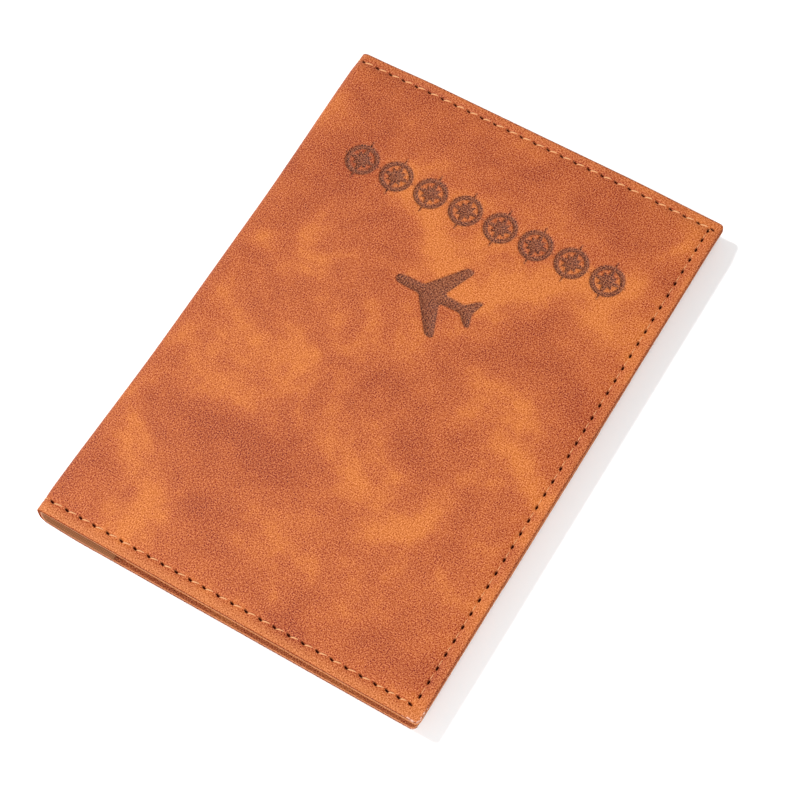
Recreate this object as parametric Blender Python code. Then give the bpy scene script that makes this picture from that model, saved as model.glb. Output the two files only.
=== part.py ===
"""A bifold passport holder, closed and lying on its back cover.

One folded leather cover wraps a narrow spine. Each of its two panels holds a paperboard stiffener,
a lining and thin inner pockets, and one lockstitched seam runs round the edges. The cover bends at two
creases beside the spine, so the pieces stand in three groups: back, spine and front.

Axes: X runs across the cover from the spine to the free edge, Y from tail to head, Z up.
The origin is under the middle of the closed holder, on the surface that it lies on.
"""

import math

import bmesh
import bpy

MM = 0.001

# Driving dimensions of the closed holder
COVER_WIDTH = 100.0 * MM
COVER_LENGTH = 142.0 * MM
CLOSED_HEIGHT = 7.0 * MM
BACK_INSET = 1.0 * MM  # the back panel stops this far short of the front one
CORNER_RADIUS = 1.25 * MM
POCKET_CORNER_RADIUS = 0.5 * MM
CORNER_STEPS = 6  # faces round a rounded corner

# Sheet thicknesses, and the air that keeps two sheets apart
LEATHER = 1.0 * MM
BOARD = 0.45 * MM
LINING = 0.3 * MM
SLEEVE = 0.4 * MM
CARD_POCKET = 0.35 * MM
SHEET_GAP = 0.1 * MM

# The two creases, each at the middle of the leather where the cover turns into the spine
CREASE_REACH = 0.7 * MM  # leather that bends on either side of a crease, left free of solids
BOARD_FROM_SPINE = 3.0 * MM
LINING_FROM_SPINE = 1.7 * MM
SPINE_LINING_MARGIN = 0.3 * MM

# Inner pockets
BOARD_MARGIN = 4.5 * MM  # the board lies inside the seam
SLEEVE_FROM_SPINE = 20.0 * MM
CARDS_FROM_SPINE = 24.0 * MM
UPPER_CARD_MOUTH = 96.0 * MM  # from the tail edge
UPPER_CARD_FLOOR = 38.0 * MM
LOWER_CARD_MOUTH = 82.0 * MM
POCKET_SEAM_INSET = 1.5 * MM  # from the card pockets' edge beside the spine
POCKET_SEAM_END = 1.2 * MM  # from the upper pocket's mouth

# The seam
SEAM_INSET = 2.65 * MM
SEAM_CORNER = 1.2 * MM
SEAM_CORNER_STEPS = 4
NEEDLE_THREAD = 0.4 * MM
BOBBIN_THREAD = 0.3 * MM
GROOVE_WIDTH = 0.8 * MM
GROOVE_DEPTH = 0.6 * MM
THREAD_END_GAP = 0.15 * MM
STEP_CLEARANCE = 0.3 * MM  # a bobbin thread stays up this far past a pocket's edge
STEP_RUN = 0.9 * MM  # length of thread that then comes down to the next layer
THREAD_SIDES = 2  # bevel resolution

SPINE_X = -COVER_WIDTH / 2
TAIL_Y = -COVER_LENGTH / 2
FREE_X = COVER_WIDTH / 2
HEAD_Y = COVER_LENGTH / 2
CREASE_X = SPINE_X + LEATHER / 2
BACK_CREASE_Z = LEATHER / 2
FRONT_CREASE_Z = CLOSED_HEIGHT - LEATHER / 2

# Depth of each layer's outer side, counted from the panel's outer face inwards
BOARD_DEPTH = LEATHER + SHEET_GAP
LINING_DEPTH = BOARD_DEPTH + BOARD + SHEET_GAP
SLEEVE_DEPTH = LINING_DEPTH + LINING + SHEET_GAP
UPPER_CARD_DEPTH = SLEEVE_DEPTH + SLEEVE + SHEET_GAP
LOWER_CARD_DEPTH = UPPER_CARD_DEPTH + CARD_POCKET + SHEET_GAP

COVER_COLOUR = (0.59, 0.165, 0.062)
INNER_COLOUR = (0.42, 0.11, 0.045)
LINING_COLOUR = (0.25, 0.075, 0.035)
BOARD_COLOUR = (0.45, 0.40, 0.32)
THREAD_COLOUR = (0.90, 0.42, 0.17)
LEATHER_ROUGHNESS = 0.75
LINING_ROUGHNESS = 0.85
BOARD_ROUGHNESS = 0.9
THREAD_ROUGHNESS = 0.6


def new_collection(name):
    """A collection of the given name, linked to the scene."""
    collection = bpy.data.collections.new(name)
    bpy.context.scene.collection.children.link(collection)
    return collection


def new_material(name, colour, roughness):
    """A Principled BSDF material with one colour."""
    material = bpy.data.materials.new(name)
    material.use_nodes = True
    shader = material.node_tree.nodes["Principled BSDF"]
    shader.inputs["Base Color"].default_value = (*colour, 1.0)
    shader.inputs["Roughness"].default_value = roughness
    shader.inputs["Metallic"].default_value = 0.0
    return material


def axis_empty(name, place, parent, collection):
    """An empty on a crease's axis, which the pieces that turn there hang from."""
    empty = bpy.data.objects.new(name, None)
    empty.parent = parent
    base = group_origin(parent)
    empty.location = [place[i] - base[i] for i in range(3)]
    empty["world_place"] = place
    collection.objects.link(empty)
    return empty


def group_origin(empty):
    """World place of a group's empty, or the world origin for the group that stays put."""
    if empty is None:
        return (0.0, 0.0, 0.0)
    return tuple(empty["world_place"])


def box_mesh(name, size, rounded_sides, radius):
    """A box round its own centre, with its upright edges rounded on the sides that are named.

    rounded_sides holds -1 for the low X side and 1 for the high X side.
    """
    mesh = bpy.data.meshes.new(name)
    form = bmesh.new()
    bmesh.ops.create_cube(form, size=1.0)
    for corner in form.verts:
        for i in range(3):
            corner.co[i] *= size[i]
    upright = [edge for edge in form.edges if is_upright(edge) and side_of(edge) in rounded_sides]
    if upright:
        bmesh.ops.bevel(form, geom=upright, offset=radius, segments=CORNER_STEPS, affect="EDGES")
    form.to_mesh(mesh)
    form.free()
    return mesh


def is_upright(edge):
    """True for an edge along Z."""
    low, high = edge.verts
    return abs(low.co.x - high.co.x) < MM / 1000 and abs(low.co.y - high.co.y) < MM / 1000


def side_of(edge):
    """-1 for an edge on the low X side, 1 for one on the high X side."""
    return int(math.copysign(1, edge.verts[0].co.x))


def sheet(name, low, high, group, colour, roughness, rounded_sides=(), radius=CORNER_RADIUS):
    """A flat sheet between two world corners, in one of the three groups.

    group is a pair: the empty that the sheet hangs from, or None, and the collection.
    """
    parent, collection = group
    size = [high[i] - low[i] for i in range(3)]
    base = group_origin(parent)
    piece = bpy.data.objects.new(name, box_mesh(name, size, rounded_sides, radius))
    piece.parent = parent
    piece.location = [(low[i] + high[i]) / 2 - base[i] for i in range(3)]
    piece.data.materials.append(new_material(name, colour, roughness))
    collection.objects.link(piece)
    return piece


def cut_box(piece, name, low, high, cutters):
    """Takes the box between two world corners out of a piece, with a Boolean modifier."""
    size = [high[i] - low[i] for i in range(3)]
    cutter = bpy.data.objects.new(name, box_mesh(name, size, (), 0.0))
    cutter.location = [(low[i] + high[i]) / 2 for i in range(3)]
    cutter.hide_render = True
    cutter.display_type = "WIRE"
    cutters.objects.link(cutter)
    cut = piece.modifiers.new(name, "BOOLEAN")
    cut.operation = "DIFFERENCE"
    cut.solver = "EXACT"
    cut.object = cutter


def thread(name, points, diameter, group):
    """A sewing thread along world points, as one round tube with closed ends."""
    parent, collection = group
    base = group_origin(parent)
    curve = bpy.data.curves.new(name, "CURVE")
    curve.dimensions = "3D"
    curve.bevel_depth = diameter / 2
    curve.bevel_resolution = THREAD_SIDES
    curve.use_fill_caps = True
    spline = curve.splines.new("POLY")
    spline.points.add(len(points) - 1)
    for spot, point in zip(spline.points, points):
        spot.co = (*[point[i] - base[i] for i in range(3)], 1.0)
    piece = bpy.data.objects.new(name, curve)
    piece.parent = parent
    curve.materials.append(new_material(name, THREAD_COLOUR, THREAD_ROUGHNESS))
    collection.objects.link(piece)
    return piece


class Panel:
    """One of the two panels: where its outer face is, and which way its layers go from there."""

    def __init__(self, label, outer_z, inward, free_x, group):
        self.label = label
        self.outer_z = outer_z
        self.inward = inward
        self.free_x = free_x
        self.group = group

    def z(self, depth):
        """Height of a point at this depth under the panel's outer face."""
        return self.outer_z + self.inward * depth

    def layer(self, name, depth, thick, from_spine, tail, head, margin, colour, roughness, radius):
        """A sheet of the panel that starts at a distance from the spine and ends at the free edge."""
        heights = sorted((self.z(depth), self.z(depth + thick)))
        low = (SPINE_X + from_spine, tail, heights[0])
        high = (self.free_x - margin, head, heights[1])
        return sheet(name, low, high, self.group, colour, roughness, (1,), radius)

    def seam_x(self):
        """X of the seam along the free edge."""
        return self.free_x - SEAM_INSET


def seam_outline(panel, start_x):
    """The seam's plan: from the crease along the tail, up the free edge and back along the head.

    Its two corners are quarter circles.
    """
    right = panel.seam_x()
    tail = TAIL_Y + SEAM_INSET
    head = HEAD_Y - SEAM_INSET
    outline = [(start_x, tail)]
    for middle_y, first in ((tail + SEAM_CORNER, -90.0), (head - SEAM_CORNER, 0.0)):
        for step in range(SEAM_CORNER_STEPS + 1):
            angle = math.radians(first + 90.0 * step / SEAM_CORNER_STEPS)
            x = right - SEAM_CORNER + SEAM_CORNER * math.cos(angle)
            y = middle_y + SEAM_CORNER * math.sin(angle)
            outline.append((x, y))
    outline.append((start_x, head))
    return outline


def make_cover_panel(panel, cutters):
    """The outer leather of a panel, with the groove that its seam sinks into."""
    start = CREASE_X + CREASE_REACH - SPINE_X
    name = f"cover_{panel.label}"
    cover = panel.layer(
        name, 0.0, LEATHER, start, TAIL_Y, HEAD_Y, 0.0, COVER_COLOUR, LEATHER_ROUGHNESS,
        CORNER_RADIUS,
    )
    half = GROOVE_WIDTH / 2
    right = panel.seam_x()
    tail = TAIL_Y + SEAM_INSET
    head = HEAD_Y - SEAM_INSET
    low_z, high_z = sorted((panel.z(-GROOVE_DEPTH), panel.z(GROOVE_DEPTH)))
    runs = {
        "tail": ((SPINE_X, tail - half), (right + half, tail + half)),
        "head": ((SPINE_X, head - half), (right + half, head + half)),
        "free": ((right - half - SEAM_CORNER / 2, tail), (right + half, head)),
    }
    for place, (low, high) in runs.items():
        cut_box(cover, f"{name}_{place}_groove", (*low, low_z), (*high, high_z), cutters)
    return cover


def make_needle_thread(panel):
    """The thread seen on the outside of a panel, below the leather's surface."""
    depth = (GROOVE_DEPTH + SHEET_GAP) / 2
    start = CREASE_X + CREASE_REACH + THREAD_END_GAP
    points = [(x, y, panel.z(depth)) for x, y in seam_outline(panel, start)]
    return thread(f"{panel.label}_needle_thread", points, NEEDLE_THREAD, panel.group)


def inner_depth(layers, x, y):
    """Depth of the innermost sheet's inner side under the seam at a place."""
    depths = [LINING_DEPTH + LINING]
    for from_spine, top, depth in layers:
        if x > SPINE_X + from_spine and y < top:
            depths.append(depth)
    return max(depths)


def make_bobbin_thread(panel, layers):
    """The thread on the inside of a panel, which climbs over each sheet that the seam catches.

    layers lists the pockets as (distance from the spine, Y of the upper end, depth of the inner side).
    """
    start = SPINE_X + LINING_FROM_SPINE + 2 * THREAD_END_GAP
    rise = SHEET_GAP + BOBBIN_THREAD / 2
    outline = seam_outline(panel, start)
    points = []
    for (x0, y0), (x1, y1) in zip(outline, outline[1:]):
        points.append((x0, y0, panel.z(inner_depth(layers, x0, y0) + rise)))
        run = math.hypot(x1 - x0, y1 - y0)
        way_x = (x1 - x0) / run
        way_y = (y1 - y0) / run
        for x, y in crossings(x0, y0, x1, y1, layers):
            before = inner_depth(layers, x - way_x * STEP_RUN, y - way_y * STEP_RUN)
            after = inner_depth(layers, x + way_x * STEP_RUN, y + way_y * STEP_RUN)
            near = STEP_CLEARANCE
            far = STEP_CLEARANCE + STEP_RUN
            spots = ((-far, before), (-near, after)) if after > before else ((near, before), (far, after))
            for along, depth in spots:
                points.append((x + way_x * along, y + way_y * along, panel.z(depth + rise)))
    last_x, last_y = outline[-1]
    points.append((last_x, last_y, panel.z(inner_depth(layers, last_x, last_y) + rise)))
    return thread(f"{panel.label}_bobbin_thread", points, BOBBIN_THREAD, panel.group)


def make_pocket_thread(panel):
    """The thread that closes the card pockets beside the spine. It steps down past the lower mouth."""
    x = SPINE_X + CARDS_FROM_SPINE + POCKET_SEAM_INSET
    rise = SHEET_GAP + BOBBIN_THREAD / 2
    upper_z = panel.z(UPPER_CARD_DEPTH + CARD_POCKET + rise)
    lower_z = panel.z(LOWER_CARD_DEPTH + CARD_POCKET + rise)
    mouth = TAIL_Y + LOWER_CARD_MOUTH + STEP_CLEARANCE
    points = [
        (x, TAIL_Y + SEAM_INSET + BOBBIN_THREAD + STEP_CLEARANCE, lower_z),
        (x, mouth, lower_z),
        (x, mouth + STEP_RUN, upper_z),
        (x, TAIL_Y + UPPER_CARD_MOUTH - POCKET_SEAM_END, upper_z),
    ]
    return thread("card_pocket_thread", points, BOBBIN_THREAD, panel.group)


def crossings(x0, y0, x1, y1, layers):
    """Places where a straight run of the seam meets a pocket's edge, in the run's order."""
    found = set()
    for from_spine, top, _ in layers:
        edge = SPINE_X + from_spine
        if min(x0, x1) < edge < max(x0, x1) and y0 < top:
            found.add((edge, y0))
        if abs(x1 - x0) < MM and min(y0, y1) < top < max(y0, y1):
            found.add((x0, top))
    return sorted(found, key=lambda spot: math.hypot(spot[0] - x0, spot[1] - y0))


def make_board(panel):
    """The paperboard that keeps a panel flat."""
    name = f"{panel.label}_board"
    tail = TAIL_Y + BOARD_MARGIN
    head = HEAD_Y - BOARD_MARGIN
    return panel.layer(
        name, BOARD_DEPTH, BOARD, BOARD_FROM_SPINE, tail, head, BOARD_MARGIN, BOARD_COLOUR,
        BOARD_ROUGHNESS, CORNER_RADIUS / 2,
    )


def make_lining(panel):
    """The lining of a panel."""
    return panel.layer(
        f"lining_{panel.label}", LINING_DEPTH, LINING, LINING_FROM_SPINE, TAIL_Y, HEAD_Y, 0.0,
        LINING_COLOUR, LINING_ROUGHNESS, CORNER_RADIUS,
    )


def make_sleeve(panel, name):
    """A full-height pocket that is open towards the spine."""
    return panel.layer(
        name, SLEEVE_DEPTH, SLEEVE, SLEEVE_FROM_SPINE, TAIL_Y, HEAD_Y, 0.0, INNER_COLOUR,
        LEATHER_ROUGHNESS, CORNER_RADIUS,
    )


def make_card_pockets(panel):
    """Two stepped card pockets, open towards the head. The lower one lies over the upper one."""
    pockets = (
        ("card_pocket_upper", UPPER_CARD_DEPTH, UPPER_CARD_FLOOR, UPPER_CARD_MOUTH, POCKET_CORNER_RADIUS),
        ("card_pocket_lower", LOWER_CARD_DEPTH, 0.0, LOWER_CARD_MOUTH, CORNER_RADIUS),
    )
    for name, depth, floor, mouth, radius in pockets:
        panel.layer(
            name, depth, CARD_POCKET, CARDS_FROM_SPINE, TAIL_Y + floor, TAIL_Y + mouth, 0.0,
            INNER_COLOUR, LEATHER_ROUGHNESS, radius,
        )


def make_spine(group, cutters):
    """The narrow strip between the creases: leather, lining and the seam's threads across it."""
    low_z = BACK_CREASE_Z + CREASE_REACH
    high_z = FRONT_CREASE_Z - CREASE_REACH
    cover = sheet(
        "cover_spine", (SPINE_X, TAIL_Y, low_z), (SPINE_X + LEATHER, HEAD_Y, high_z), group,
        COVER_COLOUR, LEATHER_ROUGHNESS,
    )
    lining_low = LINING_DEPTH + LINING + SPINE_LINING_MARGIN
    lining_high = CLOSED_HEIGHT - lining_low
    lining_x = SPINE_X + LEATHER + SHEET_GAP
    sheet(
        "lining_spine", (lining_x, TAIL_Y, lining_low), (lining_x + LINING, HEAD_Y, lining_high),
        group, LINING_COLOUR, LINING_ROUGHNESS,
    )
    half = GROOVE_WIDTH / 2
    needle_x = SPINE_X + (GROOVE_DEPTH + SHEET_GAP) / 2
    bobbin_x = lining_x + LINING + SHEET_GAP + BOBBIN_THREAD / 2
    for place, y in (("tail", TAIL_Y + SEAM_INSET), ("head", HEAD_Y - SEAM_INSET)):
        cut_box(
            cover, f"cover_spine_{place}_groove", (SPINE_X - GROOVE_DEPTH, y - half, 0.0),
            (SPINE_X + GROOVE_DEPTH, y + half, CLOSED_HEIGHT), cutters,
        )
        ends = (low_z + THREAD_END_GAP, high_z - THREAD_END_GAP)
        needle = [(needle_x, y, z) for z in ends]
        thread(f"spine_{place}_needle_thread", needle, NEEDLE_THREAD, group)
        bobbin = [(bobbin_x, y, z) for z in (lining_low, lining_high)]
        thread(f"spine_{place}_bobbin_thread", bobbin, BOBBIN_THREAD, group)


def main():
    for old in list(bpy.data.objects):
        bpy.data.objects.remove(old, do_unlink=True)
    holder = new_collection("passport_holder")
    cutters = new_collection("cutters")
    back_crease = axis_empty("back_crease_axis", (CREASE_X, 0.0, BACK_CREASE_Z), None, holder)
    front_crease = axis_empty(
        "front_crease_axis", (CREASE_X, 0.0, FRONT_CREASE_Z), back_crease, holder
    )
    back = Panel("back", 0.0, 1, FREE_X - BACK_INSET, (None, holder))
    front = Panel("front", CLOSED_HEIGHT, -1, FREE_X, (front_crease, holder))

    for panel in (back, front):
        make_cover_panel(panel, cutters)
        make_board(panel)
        make_lining(panel)
        make_needle_thread(panel)
    make_spine((back_crease, holder), cutters)
    make_sleeve(back, "passport_sleeve")
    make_sleeve(front, "front_slip_pocket")
    make_card_pockets(front)
    make_pocket_thread(front)

    sleeve = (SLEEVE_FROM_SPINE, HEAD_Y, SLEEVE_DEPTH + SLEEVE)
    upper_card = (CARDS_FROM_SPINE, TAIL_Y + UPPER_CARD_MOUTH, UPPER_CARD_DEPTH + CARD_POCKET)
    lower_card = (CARDS_FROM_SPINE, TAIL_Y + LOWER_CARD_MOUTH, LOWER_CARD_DEPTH + CARD_POCKET)
    make_bobbin_thread(back, (sleeve,))
    make_bobbin_thread(front, (sleeve, upper_card, lower_card))


main()
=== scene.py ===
"""The finished look of a bifold passport holder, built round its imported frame.

The cover is one folded sheet, so its leather, lining, pockets and thread are laid out on an unrolled plan
and wrapped round the fold: `u` runs along the cover's section from the middle of the spine to the free edge,
`y` from tail to head, and depth goes inwards from the outer face. All lengths are in metres.
"""

import logging
import math
from dataclasses import dataclass, field
from enum import Enum
from typing import Any, Callable, Optional, Sequence

import bmesh
import bpy
import numpy as np
from mathutils import Matrix, Vector
from mathutils.geometry import delaunay_2d_cdt


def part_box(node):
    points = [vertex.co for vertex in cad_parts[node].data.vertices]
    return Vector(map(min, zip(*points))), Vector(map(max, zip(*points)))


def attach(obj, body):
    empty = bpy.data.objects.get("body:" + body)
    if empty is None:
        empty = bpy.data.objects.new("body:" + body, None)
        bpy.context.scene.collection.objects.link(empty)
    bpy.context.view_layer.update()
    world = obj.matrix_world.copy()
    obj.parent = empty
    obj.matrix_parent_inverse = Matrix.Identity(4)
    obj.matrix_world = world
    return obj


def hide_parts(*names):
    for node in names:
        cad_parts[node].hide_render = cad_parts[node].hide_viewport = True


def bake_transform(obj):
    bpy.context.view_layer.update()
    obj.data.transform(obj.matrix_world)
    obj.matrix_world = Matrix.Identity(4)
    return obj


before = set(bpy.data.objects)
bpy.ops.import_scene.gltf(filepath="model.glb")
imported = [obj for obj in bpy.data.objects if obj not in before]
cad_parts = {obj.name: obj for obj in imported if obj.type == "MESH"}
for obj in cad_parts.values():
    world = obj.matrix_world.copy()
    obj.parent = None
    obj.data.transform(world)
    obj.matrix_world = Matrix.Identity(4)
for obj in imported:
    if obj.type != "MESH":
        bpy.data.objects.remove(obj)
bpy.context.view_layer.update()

log = logging.getLogger("passport_holder")

MM = 0.001
SHEET_UV = "sheet_mm"  # the plan of a sheet, one unit to a millimetre
SHARP_ANGLE = math.radians(62.0)

Array = np.ndarray
DepthRule = Callable[[Array, Array], Array]
Socket = bpy.types.NodeSocket


def ease(value: Array) -> Array:
    """Smoothstep of a value that is first held between 0 and 1."""
    held = np.clip(value, 0.0, 1.0)
    return held * held * (3.0 - 2.0 * held)


def hump(distance: Array, width: float) -> Array:
    """1 on a line, fading softly to both sides over a width."""
    return np.exp(-((distance / width) ** 2))


def blend_between(low: Array, high: Array, share: Array) -> Array:
    """A share of the way from one value to another."""
    return low + (high - low) * share


class Side(Enum):
    """The two panels of the cover. The value is also the name of the panel's body."""

    BACK = "back"
    FRONT = "front"

    @property
    def up(self) -> float:
        """1 for the panel above the spine's middle, -1 for the one below it."""
        return 1.0 if self is Side.FRONT else -1.0


@dataclass(frozen=True)
class Section:
    """The cover's section on one side of the spine's middle, and the way from the plan to space.

    The outer face climbs the spine, turns through a quarter circle and runs flat to the free edge.
    """

    side: Side
    spine_x: float
    free_x: float
    tail_y: float
    head_y: float
    height: float
    leather: float
    fold_radius: float = 1.9 * MM
    corner_radius: float = 1.25 * MM
    waist: float = 0.3 * MM  # how far the spine is drawn in at its middle
    flare: float = 0.75 * MM  # how far it stands out at the stiff seams at its ends
    waist_run: float = 52.0 * MM
    waist_fade: float = 6.0 * MM  # how far past the fold either still moves the panel
    sag: float = 0.07 * MM
    waves: tuple[float, ...] = (13.0 * MM, 19.0 * MM, 8.5 * MM, 31.0 * MM)  # lengths of the sag's waves
    wave_share: float = 0.6
    sag_run: float = 9.0 * MM  # from the fold
    droop: float = 0.8 * MM  # how far the front's head corners hang, beyond the end of the board
    droop_end: float = 6.0 * MM  # its run in from the head edge
    free_droop: float = 27.0 * MM  # its run in from the free edge
    spine_droop: float = 20.0 * MM  # its run from the spine
    proud: float = 0.42 * MM  # how far the back's tail edge stands out beyond the front's, near the spine
    proud_fade: float = 0.75  # the share of that which is gone at the free edge
    proud_run: float = 14.0 * MM

    @property
    def straight(self) -> float:
        """Plan length from the spine's middle to where the fold starts to turn."""
        return self.height / 2 - self.fold_radius

    @property
    def flat_start(self) -> float:
        """Plan length from the spine's middle to where the panel is flat."""
        return self.straight + self.fold_radius * math.pi / 2

    @property
    def reach(self) -> float:
        """Plan length from the spine's middle to the free edge."""
        return self.flat_start + self.free_x - self.spine_x - self.fold_radius

    def run_to(self, x: float) -> float:
        """Plan position of a place on the flat of the panel."""
        return self.reach - (self.free_x - x)

    def rim_distance(self, u: Array, y: Array) -> Array:
        """Distance inwards from the nearest of the tail, free and head edges, round the two corners.

        Args:
            u: Plan lengths from the spine's middle.
            y: Places between tail and head.

        Returns:
            The distances.
        """
        along = np.minimum(y - self.tail_y, self.head_y - y)
        across = self.reach - u
        radius = self.corner_radius
        plain = np.minimum(along, across)
        corner = radius - np.hypot(np.maximum(radius - along, 0), np.maximum(radius - across, 0))
        return np.where((along < radius) & (across < radius), corner, plain)

    def place(self, u: Array, y: Array, depth: Array) -> Array:
        """World points of plan positions at a depth under the outer face.

        Args:
            u: Plan lengths from the spine's middle.
            y: Places between tail and head.
            depth: Depths inwards from the outer face.

        Returns:
            One row of x, y and z for each plan position.
        """
        turn = np.clip((u - self.straight) / self.fold_radius, 0.0, math.pi / 2)
        run = np.maximum(u - self.flat_start, 0.0)
        x = self.spine_x + self.fold_radius * (1.0 - np.cos(turn)) + run + depth * np.cos(turn)
        rise = np.minimum(u, self.straight) + self.fold_radius * np.sin(turn) - depth * np.sin(turn)
        from_end = np.minimum(y - self.tail_y, self.head_y - y)
        near_spine = 1.0 - ease(u / (self.flat_start + self.waist_fade))
        x = x + blend_between(-self.flare, self.waist, ease(from_end / self.waist_run)) * near_spine
        rise = rise - self.sag_at(u, y)
        if self.side is Side.BACK:
            out = self.proud * (1.0 - self.proud_fade * u / self.reach) * ease(u / self.proud_run)
            y = y - out * ease(1.0 - (y - self.tail_y) / self.proud_run)
        return np.stack([x, y + 0.0 * u, self.height / 2 + self.side.up * rise], axis=-1)

    def sag_at(self, u: Array, y: Array) -> Array:
        """How far the panel lies inside its flat plane, as worn leather does in slow waves.

        Args:
            u: Plan lengths from the spine's middle.
            y: Places between tail and head.

        Returns:
            The depths.
        """
        wide_u, wide_y, short_y, long_u = self.waves
        wave = np.sin(u / wide_u + 1.3) * np.cos(y / wide_y + 0.4 * self.side.up)
        wave = wave + self.wave_share * np.sin(y / short_y + u / long_u)
        sag = self.sag * (1.0 + self.wave_share * wave) * ease((u - self.flat_start) / self.sag_run)
        return sag + self.droop_at(u, y)

    def droop_at(self, u: Array, y: Array) -> Array:
        """How far the front panel's two head corners hang.

        Args:
            u: Plan lengths from the spine's middle.
            y: Places between tail and head.

        Returns:
            The depths.
        """
        if self.side is Side.BACK:
            return 0.0 * (u + y)
        near_free = ease(1.0 - (self.reach - u) / self.free_droop)
        near_spine = ease(1.0 - (u - self.flat_start) / self.spine_droop) * ease(u / self.flat_start)
        near_head = ease(1.0 - (self.head_y - y) / self.droop_end)
        return self.droop * np.maximum(near_free, near_spine) * near_head

    def strip(self, u: Array, y: Array) -> Array:
        """Places on the whole cover laid flat in millimetres, with the spine's middle at 0."""
        return np.stack([self.side.up * u, y], axis=-1) / MM


@dataclass(frozen=True)
class Outline:
    """A sheet's outline on the plan, in order, with the way inwards from each of its points.

    A point on an edge that isn't a cut edge has no way inwards, so it is never rounded.
    """

    points: Array
    inward: Array

    def inset(self, distance: float) -> Array:
        """The outline moved inwards by a distance."""
        return self.points + self.inward * distance


def spaced(start: float, end: float, step: float) -> Array:
    """Evenly spaced numbers from start up to, but not at, end."""
    count = max(2, int(round(abs(end - start) / step)))
    return np.linspace(start, end, count, endpoint=False)


def panel_outline(
    u0: float, u1: float, y0: float, y1: float, radius: float, step: float, open_start: bool
) -> Outline:
    """The outline of a sheet with two rounded corners at its far end.

    Args:
        u0: Where the sheet starts.
        u1: Where it ends.
        y0: Its edge nearer the tail.
        y1: Its edge nearer the head.
        radius: Radius of its two corners at the far end.
        step: Spacing of the points along the edges.
        open_start: True where the sheet goes on past its start, so that edge isn't cut.

    Returns:
        The outline, anticlockwise on the plan.
    """
    rows: list[tuple[float, float, float, float]] = []
    start_way = 0.0 if open_start else 1.0
    for u in spaced(u0, u1 - radius, step):
        rows.append((u, y0, start_way if u == u0 else 0.0, 1.0))
    for turn in np.linspace(-math.pi / 2, 0.0, 9):
        way = (math.cos(turn), math.sin(turn))
        rows.append((u1 - radius + radius * way[0], y0 + radius + radius * way[1], -way[0], -way[1]))
    for y in spaced(y0 + radius, y1 - radius, step)[1:]:
        rows.append((u1, y, -1.0, 0.0))
    for turn in np.linspace(0.0, math.pi / 2, 9):
        way = (math.cos(turn), math.sin(turn))
        rows.append((u1 - radius + radius * way[0], y1 - radius + radius * way[1], -way[0], -way[1]))
    for u in spaced(u1 - radius, u0, step)[1:]:
        rows.append((u, y1, 0.0, -1.0))
    for y in spaced(y1, y0, step):
        rows.append((u0, y, start_way, -1.0 if y == y1 else 0.0))
    table = np.array(rows)
    return Outline(table[:, :2], table[:, 2:])


def pairs(firsts: Sequence[float], seconds: Sequence[float]) -> Array:
    """Every pair of a first and a second number, in rows, with the firsts changing slowest."""
    return np.stack(np.meshgrid(firsts, seconds, indexing="ij"), axis=-1).reshape(-1, 2)


def plan_grid(u0: float, u1: float, y0: float, y1: float, step: float) -> Array:
    """Points of a plain grid inside a rectangle of the plan, clear of its edges."""
    return pairs(spaced(u0, u1, step)[1:], spaced(y0, y1, step)[1:])


def triangulate(outline: Array, inner: Array, loops: Sequence[Array]) -> tuple[Array, Array, Array]:
    """Delaunay triangles inside an outline, with every closed loop kept as edges.

    Args:
        outline: The outline's points in order.
        inner: Free points inside it.
        loops: Closed loops of further points, whose edges the triangles keep.

    Returns:
        The plan points, the triangles, and the index of each outline point.
    """
    points = [*outline, *inner]
    edges = [(i, (i + 1) % len(outline)) for i in range(len(outline))]
    for loop in loops:
        first = len(points)
        points.extend(loop)
        edges.extend((first + i, first + (i + 1) % len(loop)) for i in range(len(loop)))
    flat = [Vector((float(u) / MM, float(y) / MM)) for u, y in points]
    made, _, faces, sources, _, _ = delaunay_2d_cdt(flat, edges, [], 1, 1e-5)
    index = {source: i for i, group in enumerate(sources) for source in group}
    plan = np.array([(v.x, v.y) for v in made]) * MM
    rim = np.array([index[i] for i in range(len(outline))])
    return plan, np.array(faces), rim


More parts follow.
